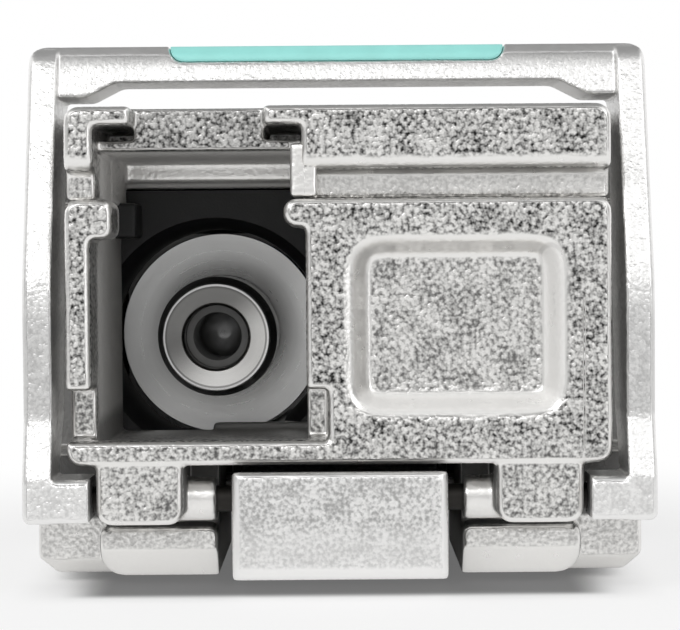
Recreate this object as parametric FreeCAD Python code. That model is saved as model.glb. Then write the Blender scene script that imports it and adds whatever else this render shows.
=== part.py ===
import FreeCAD, Part
import math
import os

# Small form-factor pluggable transceiver with one fibre port and a pull-down bail.
# Millimetres. X runs across the module, Y from the front face to the rear, Z up.
# The origin is the centre of the body's underside, in the plane where the nose stops against the cage.

# Body that slides into the cage
body_width = 13.4
body_height = 8.5
body_length = 47.5
side_wall = 0.7
floor_thickness = 0.9
roof_thickness = 0.6
lower_chamfer = 1.1
cover_depth = 1.9
top_corner = 0.4
rear_opening = 10.4
rear_shoulder = 2.0
rear_wall = 1.2

# Nose in front of the cage
nose_length = 9.0
nose_inset = 0.6
nose_underside = 1.48
nose_rise = 1.0
upper_bar = 2.08
nose_roof = 0.95
sill_thickness = 0.55
sill_depth = 0.8
port_floor = 0.25
face_thickness = 1.6
nose_corner = 0.33
edge_round = 0.12
edge_bevel = 0.1
channel_height = 0.66
channel_depth = 0.7
channel_bevel = 0.22

# Collar and chin that stop at the cage
collar_lip = 0.37
collar_length = 4.2
chin_inset = 0.07
chin_drop = 1.2
chin_setback = 2.5
chin_bevel = 0.4
chin_face_bevel = 0.35
foot_reach = 1.0
foot_drop = 0.02
foot_face = 0.52
foot_inset = 1.5
foot_round = 0.22
lever_slot_gap = 0.38

# Fibre port
port_wall = 0.575
optical_height = 4.1
port_width = 4.8
port_tab_reach = 0.5
left_tab_height = 0.88
right_tab_height = 0.64
port_tab_depth = 2.2
relief_height = 1.13
relief_width = 0.48
relief_depth = 1.5
plug_slot_width = 4.65
plug_slot_roof = 0.42
latch_notch_width = 2.96
latch_notch_depth = 1.2
back_rail_rise = 0.62
back_rail_depth = 0.6

# Blank pocket beside the port
pocket_port_gap = 1.045
pocket_side_gap = 1.13
pocket_sill_gap = 0.63
pocket_seam_gap = 0.94
pocket_corner = 0.55
pocket_depth = 0.7
pocket_taper = 0.3

# Bail, its axle and the release cam
axle_setback = 1.3
axle_drop = 0.84
axle_radius = 0.3
hub_overlap = 0.5
hub_gap = 0.15
ear_width = 1.95
ear_wall = 0.5
ear_round = 0.35
ear_setback = 0.1
ear_boss_wall = 0.2
arm_thickness = 0.65
eye_radius = 0.62
toe_length = 1.5
toe_rise = 0.56
toe_drop = 0.42
toe_round = 0.18
neck_height = 1.86
neck_reach = 1.05
belly_height = 4.8
belly_reach = 1.15
brow_setback = 0.8
brow_round = 0.75
arm_depth = 2.6
arm_collar_gap = 0.8
bar_rise = 1.5
bar_setback = 2.25
bar_depth = 2.3
bar_lean = 0.3
bar_arch_height = 0.85
bar_end_height = 1.2
bar_arch_inset = 1.99
bar_shoulder_inset = 1.31
bail_corner = 0.36
bar_bevel = 0.2
colour_tab_inset = 1.24
colour_tab_height = 0.37
colour_tab_round = 0.32
colour_tab_wall = 0.5
cam_width = 3.2
cam_base = 0.52
cam_lift = 0.6
cam_turn = 90.0

# Latch lever
lever_reach = 0.45
lever_width = 4.8
lever_rise = 0.7
lever_drop = 1.72
lever_front_wall = 0.5
lever_chin_round = 0.45
trough_length = 2.15
lever_arm_drop = 0.6
lever_arm_rise = 0.55
lever_pivot_setback = 2.6
lever_pivot_z = 0.45
lever_eye = 0.8
lever_pin_radius = 0.4
tail_width = 2.6
tail_thickness = 0.5
tail_end = 5.1
latch_shoulder = 2.5
boss_height = 0.45
boss_flat = 0.5
boss_length = 2.3
tail_gap = 0.2
channel_roof = 0.42
channel_wall = 0.45
channel_end_gap = 0.4
spring_thickness = 0.12
spring_width = 1.8
spring_fixed_length = 1.6
spring_tip_gap = 0.7

# Spring-finger collar
shield_front = 0.35
shield_band = 1.3
shield_length = 6.3
shield_thickness = 0.12
finger_width = 1.25
finger_gap = 0.45
finger_rise = 0.5
finger_end_rise = 0.05
finger_crest = 1.2
shield_gap_width = 6.4

# Two-way optical sub-assembly
barrel_front = -0.3
barrel_radius = 1.38
barrel_bore = 0.81
barrel_chamfer = 0.14
mouth_chamfer = 0.12
barrel_length = 6.6
sleeve_front = 0.6
sleeve_radius = 0.8
ferrule_bore = 0.625
sleeve_length = 3.3
stub_length = 2.2
flange_front = 3.8
flange_radius = 2.69
flange_cone = 0.1
flange_mouth = 1.56
flange_mouth_depth = 0.7
bosa_length = 5.8
bosa_width = 5.4
bosa_bevel = 1.0
can_radius = 2.1
can_rim_radius = 2.5
can_rim = 0.5
can_length = 2.0
lead_size = 0.35
lead_spacing = 1.3
lead_length = 1.4
receptacle_front = 0.05
receptacle_end = 3.6
receptacle_bore = 2.78
receptacle_seat = 0.3
receptacle_reach = 3.825

# Circuit board and what is on it
board_thickness = 1.0
board_bottom = 2.25
board_gap = 4.69
board_side_gap = 0.3
tongue_margin = 0.6
tongue_post_gap = 4.75
tongue_inset = 3.2
tongue_round = 0.3
ledge_width = 0.6
pad_thickness = 0.05
pad_width = 0.55
pad_length = 2.6
pad_inset = 0.25
pad_pitch = 0.8
pads_per_side = 10
driver_size = 4.0
controller_size = 5.0
amplifier_size = 3.0
package_height = 0.85
package_edge = 0.12
capacitor_length = 1.0
capacitor_width = 0.55
capacitor_height = 0.55
capacitor_count = 8
capacitor_rib_gap = 0.6
resistor_length = 1.0
resistor_width = 0.5
resistor_height = 0.35
resistor_count = 4
chip_gap = 0.35
flex_thickness = 0.15
flex_width = 3.4
flex_bend = 0.6
flex_landing = 2.4
thermal_pad_thickness = 0.8

# Cover screws
screw_rear_gap = 1.7
screw_wall_gap = 0.95
screw_radius = 0.5
screw_head_radius = 1.0
screw_head_height = 0.5
screw_length = 4.2
screw_slot_width = 0.25
screw_slot_depth = 0.22
post_width = 1.3

# Clearances
running_clearance = 0.03
seat_clearance = 0.01
loose_clearance = 0.06
lever_clearance = 0.04
open_margin = 0.5

# Widths and heights of the housing, worked out from the sizes above
half_body = body_width / 2
half_nose = half_body - nose_inset
half_collar = half_body + collar_lip
half_chin = half_collar - chin_inset
tray_inside = half_body - side_wall
rib_inner = tray_inside - side_wall
foot_outer = half_chin - foot_inset
body_seam = body_height - cover_depth
cover_inside = body_height - roof_thickness
nose_top = body_height + nose_rise
nose_seam = nose_top - upper_bar
sill_top = nose_underside + sill_thickness
channel_top = nose_seam + channel_height
back_rail_bottom = nose_seam + back_rail_rise
plug_slot_top = nose_top - plug_slot_roof
chin_bottom = -chin_drop
foot_top = -foot_drop

# Places along the module
nose_front = -nose_length
channel_back = nose_front + channel_depth
chin_front = nose_front + chin_setback
foot_front = chin_front - foot_reach
floor_length = body_length - rear_opening
screw_x = tray_inside - screw_wall_gap
screw_y = floor_length - screw_rear_gap

# Port and pocket in the face
port_left = -half_nose + port_wall
port_right = port_left + port_width
port_x = (port_left + port_right) / 2
pocket_left = port_right + pocket_port_gap
pocket_right = half_nose - pocket_side_gap
pocket_bottom = sill_top + pocket_sill_gap
pocket_top = nose_seam - pocket_seam_gap

# Bail and hinge
axle_y = nose_front + axle_setback
axle_z = nose_underside - axle_drop
hub_inner = half_nose - hub_overlap
ear_outer = hub_inner - hub_gap
ear_inner = ear_outer - ear_width
ear_bottom = axle_z - ear_wall
arm_outer = half_collar
arm_inner = arm_outer - arm_thickness
bail_top = nose_top + bar_rise
bar_front = nose_front + bar_setback
bar_back = bar_front + bar_depth
bar_arch_half = arm_outer - bar_arch_inset
bar_shoulder_half = arm_outer - bar_shoulder_inset
half_colour_tab = bar_arch_half - colour_tab_inset

# Latch lever and its tunnel
half_lever = lever_width / 2
half_slot = half_lever + lever_slot_gap
half_tail_slot = tail_width / 2 + tail_gap
lever_front = nose_front - lever_reach
lever_top = axle_z + lever_rise
lever_bottom = axle_z - lever_drop
lever_pivot_y = -lever_pivot_setback
lever_arm_bottom = lever_pivot_z - lever_arm_drop
lever_arm_top = lever_pivot_z + lever_arm_rise
channel_end = tail_end + channel_end_gap
tunnel_top = nose_underside + channel_roof
spring_tip = tail_end - spring_tip_gap

# Optics and board
flange_end = channel_end + channel_wall + loose_clearance
bosa_end = flange_end + bosa_length
receptacle_right = port_x + receptacle_reach
board_top = board_bottom + board_thickness
board_front = bosa_end + board_gap
board_end = body_length - tongue_inset
tongue_start = screw_y - post_width / 2 - tongue_post_gap
half_board = tray_inside - board_side_gap
half_tongue = pads_per_side * pad_pitch / 2 + tongue_margin
shoulder_height = board_top + rear_shoulder

V = FreeCAD.Vector


def outline(corners, place):
    """Closed wire through (u, v, radius) corners, each one rounded by a tangent arc."""
    points = [V(u, v, 0) for u, v, radius in corners]
    spans = []
    for index, (u, v, radius) in enumerate(corners):
        here = points[index]
        back = (points[index - 1] - here).normalize()
        ahead = (points[(index + 1) % len(points)] - here).normalize()
        half_angle = back.getAngle(ahead) / 2
        setback = radius / math.tan(half_angle)
        middle = here + (back + ahead).normalize() * (radius / math.sin(half_angle) - radius)
        spans.append((here + back * setback, middle, here + ahead * setback, radius))
    edges = []
    for index, (start, middle, end, radius) in enumerate(spans):
        if radius > 0:
            arc = Part.Arc(place(start.x, start.y), place(middle.x, middle.y), place(end.x, end.y))
            edges.append(arc.toShape())
        following = spans[(index + 1) % len(spans)][0]
        if end.distanceToPoint(following) > 1e-6:
            edges.append(Part.makeLine(place(end.x, end.y), place(following.x, following.y)))
    return Part.Wire(edges)


def front_slab(corners, y0, y1):
    """Solid with an (x, z, radius) outline as seen from the front, from y0 to y1."""
    face = Part.Face(outline(corners, lambda u, v: V(u, y0, v)))
    return face.extrude(V(0, y1 - y0, 0))


def side_slab(corners, x0, x1):
    """Solid with a (y, z, radius) outline as seen from the side, from x0 to x1."""
    face = Part.Face(outline(corners, lambda u, v: V(x0, u, v)))
    return face.extrude(V(x1 - x0, 0, 0))


def plan_slab(corners, z0, z1):
    """Solid with an (x, y, radius) outline as seen from above, from z0 to z1."""
    face = Part.Face(outline(corners, lambda u, v: V(u, v, z0)))
    return face.extrude(V(0, 0, z1 - z0))


def rectangle(u0, u1, v0, v1, radius=0.0):
    """Four corners of a rectangle, all with the same radius."""
    return [(u0, v0, radius), (u1, v0, radius), (u1, v1, radius), (u0, v1, radius)]


def block(x0, x1, y0, y1, z0, z1):
    """Plain rectangular solid between two corners."""
    return Part.makeBox(x1 - x0, y1 - y0, z1 - z0, V(x0, y0, z0))


def cross_rod(radius, x0, x1, y, z):
    """Cylinder along X."""
    return Part.makeCylinder(radius, x1 - x0, V(x0, y, z), V(1, 0, 0))


def port_rod(radius, y0, y1):
    """Cylinder along Y on the fibre's axis."""
    return Part.makeCylinder(radius, y1 - y0, V(port_x, y0, optical_height), V(0, 1, 0))


def port_turned(profile):
    """Solid turned about the fibre's axis from (y, radius) points."""
    points = [V(port_x + radius, y, optical_height) for y, radius in profile]
    face = Part.Face(Part.makePolygon(points + points[:1]))
    return face.revolve(V(port_x, 0, optical_height), V(0, 1, 0), 360)


def fuse_all(shapes):
    """One solid from shapes that touch, with faces in one plane joined."""
    return shapes[0].fuse(shapes[1:]).removeSplitter()


def edges_at_y(shape, y):
    """Edges that lie in the plane at y."""
    return [
        edge
        for edge in shape.Edges
        if abs(edge.BoundBox.YMin - y) < 1e-5 and abs(edge.BoundBox.YMax - y) < 1e-5
    ]


def both_sides(make):
    """The same piece on the right and, mirrored, on the left."""
    right = make()
    return [right, right.mirror(V(0, 0, 0), V(1, 0, 0))]


def nose_section(with_tabs, top_radius):
    """Outline of the base's nose from the front: sill, left strip, right block and the port between them."""
    corners = [
        (-half_nose, nose_underside, nose_corner),
        (half_nose, nose_underside, nose_corner),
        (half_nose, nose_seam, top_radius),
    ]
    if with_tabs:
        right_low = nose_seam - right_tab_height
        left_low = nose_seam - left_tab_height
        right_round = right_tab_height / 2 - seat_clearance
        left_round = left_tab_height / 4
        corners += [
            (port_right - port_tab_reach, nose_seam, right_round),
            (port_right - port_tab_reach, right_low, right_round),
            (port_right, right_low, 0),
            (port_right, sill_top, 0),
            (port_left, sill_top, 0),
            (port_left, left_low, 0),
            (port_left + port_tab_reach, left_low, left_round),
            (port_left + port_tab_reach, nose_seam, left_round),
        ]
    else:
        corners += [
            (port_right, nose_seam, 0),
            (port_right, sill_top, 0),
            (port_left, sill_top, 0),
            (port_left, nose_seam, 0),
        ]
    corners.append((-half_nose, nose_seam, top_radius))
    return corners


def pocket_tool():
    """Drafted pocket with rounded corners, cut into the blank face."""

    def ring(inset, y):
        left, right = pocket_left + inset, pocket_right - inset
        low, high = pocket_bottom + inset, pocket_top - inset
        corners = rectangle(left, right, low, high, pocket_corner - inset)
        return outline(corners, lambda u, v: V(u, y, v))

    rings = [ring(0.0, nose_front), ring(pocket_taper, nose_front + pocket_depth)]
    return Part.makeLoft(rings, True, True)


def base_nose():
    """Front block of the housing: port, tabs, corner reliefs and blank pocket, with rounded front edges."""
    tab_back = nose_front + port_tab_depth
    nose = fuse_all(
        [
            front_slab(nose_section(True, nose_corner), nose_front, channel_back),
            front_slab(nose_section(True, 0), channel_back, tab_back),
            front_slab(nose_section(False, 0), tab_back, 0),
        ]
    )
    relief_top = sill_top + relief_height
    relief_back = nose_front + relief_depth
    left_relief = block(
        -half_nose - open_margin, port_left + open_margin, nose_front, relief_back, sill_top, relief_top
    )
    right_relief = block(port_right, port_right + relief_width, nose_front, relief_back, sill_top, relief_top)
    floor_well = block(
        port_left, port_right, nose_front + sill_depth, 0, nose_underside + port_floor, sill_top
    )
    nose = nose.cut([left_relief, right_relief, pocket_tool(), floor_well])
    nose = nose.makeChamfer(edge_bevel, edges_at_y(nose, nose_front))
    core = block(
        port_right + side_wall,
        half_nose - side_wall,
        nose_front + face_thickness,
        0,
        sill_top,
        nose_seam,
    )
    return nose.cut(core)


def base_ear():
    """Hinge ear under the nose, with a boss for the axle on its inner side."""
    corners = [
        (ear_inner, ear_bottom, ear_round),
        (ear_outer, ear_bottom, ear_round),
        (ear_outer, nose_underside + edge_round, 0),
        (ear_inner, nose_underside + edge_round, 0),
    ]
    ear = front_slab(corners, nose_front + ear_setback, chin_front)
    ear = ear.makeChamfer(edge_bevel, edges_at_y(ear, nose_front + ear_setback)[:-1])
    return ear.fuse(cross_rod(axle_radius + ear_boss_wall, half_slot, ear_outer - ear_round, axle_y, axle_z))


def base_chin():
    """Side block under the nose with its foot, which carries the module's front on a table."""
    corners = [
        (half_slot, chin_bottom, 0),
        (half_chin - chin_bevel, chin_bottom, 0),
        (half_chin, chin_bottom + chin_bevel, 0),
        (half_chin, nose_underside + edge_round, 0),
        (half_slot, nose_underside + edge_round, 0),
    ]
    side_block = front_slab(corners, chin_front, 0)
    side_profile = [
        (chin_front, chin_bottom + chin_face_bevel, edge_round),
        (chin_front + chin_face_bevel, chin_bottom, 0),
        (0, chin_bottom, 0),
        (0, nose_underside + edge_round, 0),
        (chin_front, nose_underside + edge_round, 0),
    ]
    side_block = side_block.common(side_slab(side_profile, half_slot, half_chin))
    foot_low = foot_top - foot_face
    foot_profile = [
        (foot_front, foot_top, edge_round),
        (foot_front, foot_low, edge_round),
        (foot_front + foot_low - chin_bottom, chin_bottom, 0),
        (chin_front + open_margin, chin_bottom, 0),
        (chin_front + open_margin, foot_top, 0),
    ]
    foot = side_slab(foot_profile, half_slot, foot_outer)
    trim = front_slab(
        [
            (half_slot, chin_bottom, 0),
            (foot_outer, chin_bottom, foot_face),
            (foot_outer, foot_top, foot_round),
            (half_slot, foot_top, foot_round),
        ],
        foot_front,
        chin_front + open_margin,
    )
    return side_block.fuse(foot.common(trim))


def base_collar():
    """Side flange that stops against the cage."""
    corners = [
        (half_nose - edge_round, chin_bottom, 0),
        (half_collar - chin_bevel, chin_bottom, 0),
        (half_collar, chin_bottom + chin_bevel, 0),
        (half_collar, nose_seam, 0),
        (half_nose - edge_round, nose_seam, 0),
    ]
    return front_slab(corners, -collar_length, 0)


def tray_section(inset):
    """Outline of the tray from the front, with its chamfered lower edges."""
    half = half_body - inset
    return [
        (-half, body_seam, 0),
        (-half, lower_chamfer, 0),
        (-half_body + lower_chamfer, inset, 0),
        (half_body - lower_chamfer, inset, 0),
        (half, lower_chamfer, 0),
        (half, body_seam, 0),
    ]


def base_tray():
    """Open tray behind the nose, with a tunnel for the latch lever and ledges for the board."""
    tray = front_slab(tray_section(0), 0, body_length)
    inner_bevel = lower_chamfer - floor_thickness / 2
    hollow = [
        (-tray_inside, body_seam, 0),
        (-tray_inside, floor_thickness + inner_bevel, 0),
        (-tray_inside + inner_bevel, floor_thickness, 0),
        (tray_inside - inner_bevel, floor_thickness, 0),
        (tray_inside, floor_thickness + inner_bevel, 0),
        (tray_inside, body_seam, 0),
    ]
    rear_window = block(-tray_inside, tray_inside, floor_length, body_length, 0, body_seam)
    tray = tray.cut([front_slab(hollow, 0, body_length), rear_window])
    tunnel_half = half_tail_slot + channel_wall
    tunnel = block(-tunnel_half, tunnel_half, 0, channel_end + channel_wall, 0, tunnel_top)
    bulkhead = block(-half_slot - channel_wall, half_slot + channel_wall, 0, channel_wall, 0, tunnel_top)
    ledge = [
        (tray_inside - ledge_width, floor_thickness / 2, 0),
        (tray_inside + side_wall / 2, lower_chamfer, 0),
        (tray_inside + side_wall / 2, board_bottom, 0),
        (tray_inside - ledge_width, board_bottom, 0),
    ]
    ledges = both_sides(lambda: front_slab(ledge, board_front, tongue_start))
    posts = both_sides(
        lambda: block(
            screw_x - post_width / 2,
            tray_inside + side_wall / 2,
            screw_y - post_width / 2,
            screw_y + post_width / 2,
            lower_chamfer,
            body_seam,
        )
    )
    saddle_half = bosa_width / 2 - bosa_bevel
    saddle = block(
        port_x - saddle_half,
        port_x + saddle_half,
        flange_end + bosa_bevel,
        bosa_end - bosa_bevel,
        floor_thickness / 2,
        optical_height - bosa_width / 2,
    )
    return fuse_all([tray, tunnel, bulkhead, saddle] + ledges + posts)


def shield_recess(section, y0, y1):
    """Shallow seat for the spring-finger collar all round a section."""
    deep = front_slab(section(shield_thickness + seat_clearance), y0, y1)
    return front_slab(section(0), y0, y1).cut(deep)


def base_shell():
    """The die-cast housing in one piece."""
    pieces = [base_nose(), base_tray()]
    pieces += both_sides(base_ear)
    pieces += both_sides(base_chin)
    pieces += both_sides(base_collar)
    shell = fuse_all(pieces)
    tail_slot = block(-half_tail_slot, half_tail_slot, 0, channel_end, chin_bottom, nose_underside)
    axle_hole = cross_rod(axle_radius + running_clearance, -ear_outer, ear_outer, axle_y, axle_z)
    pin_hole = cross_rod(
        lever_pin_radius + seat_clearance, -half_chin, half_chin, lever_pivot_y, lever_pivot_z
    )
    cradle = port_rod(flange_radius + loose_clearance * 2, channel_wall, flange_end)
    receptacle_wall = block(
        -tray_inside - receptacle_seat,
        -tray_inside,
        0,
        receptacle_end + loose_clearance,
        lower_chamfer + floor_thickness - receptacle_seat,
        body_seam,
    )
    screw_holes = both_sides(
        lambda: Part.makeCylinder(
            screw_radius + seat_clearance,
            screw_length,
            V(screw_x, screw_y, body_height - screw_length),
        )
    )
    seat = shield_recess(tray_section, shield_front - loose_clearance, shield_length + loose_clearance)
    return shell.cut([tail_slot, axle_hole, pin_hole, cradle, receptacle_wall, seat] + screw_holes)


def cover_section(inset):
    """Outline of the cover's body from the front."""
    half = half_body - inset
    return [
        (-half, body_seam, 0),
        (half, body_seam, 0),
        (half, body_height - inset, top_corner),
        (-half, body_height - inset, top_corner),
    ]


def cover_nose():
    """Upper bar of the nose, with the channel over the face and the slots for the plug and its latch."""
    outer = [
        (-half_nose, nose_seam, 0),
        (half_nose, nose_seam, 0),
        (half_nose, nose_top, nose_corner),
        (-half_nose, nose_top, nose_corner),
    ]
    nose = front_slab(outer, nose_front, 0)
    channel = [
        (nose_front - open_margin, nose_seam - open_margin, 0),
        (channel_back, nose_seam - open_margin, 0),
        (channel_back, channel_top, channel_bevel),
        (nose_front + channel_bevel, channel_top, 0),
        (nose_front - open_margin, channel_top + channel_bevel + open_margin, 0),
    ]
    half_plug = plug_slot_width / 2
    half_notch = latch_notch_width / 2
    notch_back = nose_front + latch_notch_depth
    ceiling = nose_top - nose_roof
    cuts = [
        side_slab(channel, -half_nose - open_margin, half_nose + open_margin),
        block(port_x - half_plug, port_x + half_plug, nose_front, notch_back, nose_seam, plug_slot_top),
        block(port_x - half_plug, port_x + half_plug, notch_back, -back_rail_depth, nose_seam, ceiling),
        block(port_x - half_plug, port_x + half_plug, -back_rail_depth, 0, nose_seam, back_rail_bottom),
        block(port_x - half_notch, port_x + half_notch, nose_front, notch_back, plug_slot_top, nose_top),
        block(
            port_right + side_wall,
            half_nose - side_wall,
            nose_front + face_thickness,
            -back_rail_depth,
            nose_seam,
            ceiling,
        ),
    ]
    nose = nose.cut(cuts)
    return nose.makeChamfer(edge_bevel, edges_at_y(nose, nose_front))


def top_cover():
    """The die-cast cover in one piece."""
    plate = front_slab(cover_section(0), 0, body_length)
    hollow = block(-tray_inside, tray_inside, 0, body_length - rear_wall, body_seam, cover_inside)
    plate = plate.cut(hollow)
    collar = front_slab(
        [
            (-half_collar, nose_seam, 0),
            (half_collar, nose_seam, 0),
            (half_collar, nose_top, nose_corner),
            (-half_collar, nose_top, nose_corner),
        ],
        -collar_length,
        0,
    )
    collar_window = block(
        -half_nose + side_wall, half_nose - side_wall, -collar_length, 0, nose_seam, nose_top
    )
    shoulder = block(
        -tray_inside + loose_clearance,
        tray_inside - loose_clearance,
        body_length - rear_wall,
        body_length,
        shoulder_height,
        body_seam,
    )
    ribs = both_sides(
        lambda: block(
            rib_inner,
            tray_inside - loose_clearance,
            board_front,
            tongue_start,
            board_top + seat_clearance,
            cover_inside,
        )
    )
    pedestal = block(
        -driver_size / 2,
        driver_size / 2,
        driver_place()[1] - driver_size / 2,
        driver_place()[1] + driver_size / 2,
        board_top + package_height + thermal_pad_thickness,
        cover_inside,
    )
    cover = fuse_all([plate, collar.cut(collar_window), cover_nose(), shoulder, pedestal] + ribs)
    holes = both_sides(
        lambda: Part.makeCylinder(
            screw_radius + loose_clearance,
            body_height - body_seam,
            V(screw_x, screw_y, body_seam),
        )
    )
    sinks = both_sides(
        lambda: Part.makeCylinder(
            screw_head_radius + loose_clearance,
            screw_head_height,
            V(screw_x, screw_y, body_height - screw_head_height),
        )
    )
    seat = shield_recess(cover_section, shield_front - loose_clearance, shield_length + loose_clearance)
    return cover.cut(holes + sinks + [seat])


def finger_strip(width):
    """One bent spring finger along Y, rising in Z from the plane z = 0 to a crest, centred on X."""
    start = shield_front + shield_band - loose_clearance
    crest_front = (start + shield_length - finger_crest) / 2
    crest_back = crest_front + finger_crest
    profile = [
        (start, -shield_thickness, 0),
        (crest_front, finger_rise - shield_thickness, 0),
        (crest_back, finger_rise - shield_thickness, 0),
        (shield_length, finger_end_rise - shield_thickness, 0),
        (shield_length, finger_end_rise, 0),
        (crest_back, finger_rise, 0),
        (crest_front, finger_rise, 0),
        (start, 0, 0),
    ]
    return side_slab(profile, -width / 2, width / 2)


def finger_row(span):
    """Centres of as many fingers as fit across a span."""
    pitch = finger_width + finger_gap
    count = int((span + finger_gap) / pitch)
    return [(index - (count - 1) / 2) * pitch for index in range(count)]


def shield_finger(x, z, turn):
    """One finger turned about Y to face out of the body, at a place on its surface."""
    finger = finger_strip(finger_width)
    finger.rotate(V(0, 0, 0), V(0, 1, 0), turn)
    finger.translate(V(x, 0, z))
    return finger


def emi_collar():
    """Stamped spring-finger collar round the body, open at the bottom for the latch."""
    half = half_body
    ring = [
        (-half, lower_chamfer, 0),
        (-half + lower_chamfer, 0, 0),
        (half - lower_chamfer, 0, 0),
        (half, lower_chamfer, 0),
        (half, body_height, top_corner),
        (-half, body_height, top_corner),
    ]
    inset = shield_thickness
    inner = [
        (-half + inset, lower_chamfer, 0),
        (-half + lower_chamfer, inset, 0),
        (half - lower_chamfer, inset, 0),
        (half - inset, lower_chamfer, 0),
        (half - inset, body_height - inset, top_corner),
        (-half + inset, body_height - inset, top_corner),
    ]
    band_end = shield_front + shield_band
    band = front_slab(ring, shield_front, band_end).cut(front_slab(inner, shield_front, band_end))
    latch_gap = block(
        -shield_gap_width / 2, shield_gap_width / 2, shield_front, band_end, -inset, inset * 2
    )
    fingers = [shield_finger(x, body_height, 0) for x in finger_row(body_width - 2 * top_corner)]
    side_span = body_height - lower_chamfer - top_corner
    side_middle = lower_chamfer + side_span / 2
    for offset in finger_row(side_span):
        fingers.append(shield_finger(half, side_middle + offset, 90))
        fingers.append(shield_finger(-half, side_middle + offset, -90))
    low_span = half - lower_chamfer - shield_gap_width / 2
    low_middle = shield_gap_width / 2 + low_span / 2
    for offset in finger_row(low_span):
        fingers.append(shield_finger(low_middle + offset, 0, 180))
        fingers.append(shield_finger(-low_middle - offset, 0, 180))
    return fuse_all([band.cut(latch_gap)] + fingers)


def arm_profile():
    """Side outline of a bail arm: toe and eye at the axle, neck, belly and rounded brow at the top."""
    return [
        (axle_y - toe_length, axle_z - toe_drop, toe_round),
        (axle_y - toe_length, axle_z + toe_rise, toe_round),
        (axle_y - neck_reach, axle_z + neck_height, toe_round * 2),
        (axle_y - belly_reach, axle_z + belly_height, belly_height / 2),
        (axle_y + brow_setback, bail_top, brow_round),
        (bar_back, bail_top, bar_end_height / 3),
        (bar_back, bail_top - bar_end_height, bar_end_height / 3),
        (-collar_length - arm_collar_gap, bail_top - 2 * bar_end_height, brow_round),
        (axle_y - neck_reach + arm_depth, axle_z + neck_height, brow_round),
        (axle_y + eye_radius, axle_z + eye_radius, 0),
        (axle_y + eye_radius, axle_z - eye_radius, eye_radius - toe_round / 2),
    ]


def bail_arm():
    """Right arm with its hub, rounded along its outer edges."""
    arm = side_slab(arm_profile(), arm_inner, arm_outer)
    outer = [edge for edge in arm.Edges if edge.BoundBox.XMin > arm_outer - seat_clearance]
    arm = arm.makeChamfer(edge_bevel, outer)
    hub_profile = [
        (axle_y - toe_length, axle_z - toe_drop, toe_round),
        (axle_y - toe_length, axle_z + toe_rise, toe_round),
        (axle_y + eye_radius, axle_z + toe_rise, eye_radius / 2),
        (axle_y + eye_radius, axle_z - toe_drop, eye_radius / 2),
    ]
    hub = side_slab(hub_profile, hub_inner, (arm_inner + arm_outer) / 2)
    return arm.fuse(hub)


def bar_profile():
    """Side outline of the top bar: front that leans back, and a bevel along its top edge."""
    return [
        (bar_front - bar_lean, bail_top - bar_end_height, 0),
        (bar_front, bail_top - bar_bevel, 0),
        (bar_front + bar_bevel, bail_top, 0),
        (bar_back, bail_top, 0),
        (bar_back, bail_top - bar_end_height, 0),
    ]


def colour_tab_shape(clearance):
    """Shape of the colour tab, or of its seat when given a clearance."""
    half = half_colour_tab + clearance
    low = bail_top - colour_tab_height - clearance
    corners = [
        (-half, bail_top, 0),
        (-half, low, colour_tab_round),
        (half, low, colour_tab_round),
        (half, bail_top, 0),
    ]
    return front_slab(corners, bar_front - bar_lean, bar_back - colour_tab_wall + clearance)


def bail():
    """The die-cast bail: two arms with hubs, joined by an arched top bar."""
    bar_corners = [
        (-arm_outer + edge_round, bail_top, 0),
        (-arm_outer + edge_round, bail_top - bar_end_height, 0),
        (-bar_shoulder_half, bail_top - bar_end_height, bar_end_height / 3),
        (-bar_arch_half, bail_top - bar_arch_height, bar_end_height / 3),
        (bar_arch_half, bail_top - bar_arch_height, bar_end_height / 3),
        (bar_shoulder_half, bail_top - bar_end_height, bar_end_height / 3),
        (arm_outer - edge_round, bail_top - bar_end_height, 0),
        (arm_outer - edge_round, bail_top, 0),
    ]
    bar = front_slab(bar_corners, bar_front - bar_lean, bar_back)
    bar = bar.common(side_slab(bar_profile(), -arm_outer, arm_outer))
    frame = fuse_all(both_sides(bail_arm) + [bar])
    reach = bail_top - axle_z + open_margin
    envelope = front_slab(
        [
            (-arm_outer, axle_z - reach, 0),
            (arm_outer, axle_z - reach, 0),
            (arm_outer, bail_top, bail_corner),
            (-arm_outer, bail_top, bail_corner),
        ],
        axle_y - reach,
        axle_y + reach,
    )
    frame = frame.common(envelope)
    axle_hole = cross_rod(axle_radius + seat_clearance, -arm_outer, arm_outer, axle_y, axle_z)
    return frame.cut([axle_hole, colour_tab_shape(seat_clearance)])


def bail_tab():
    """Colour tab let into the bail's top bar, with the bar's side outline."""
    return colour_tab_shape(0.0).common(side_slab(bar_profile(), -half_colour_tab, half_colour_tab))


def bail_axle():
    """Straight axle through the hubs, the ears and the cam."""
    axle = cross_rod(axle_radius, -arm_outer, arm_outer, axle_y, axle_z)
    ends = [edge for edge in axle.Edges if edge.Closed]
    return axle.makeChamfer(edge_round / 2, ends)


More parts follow.
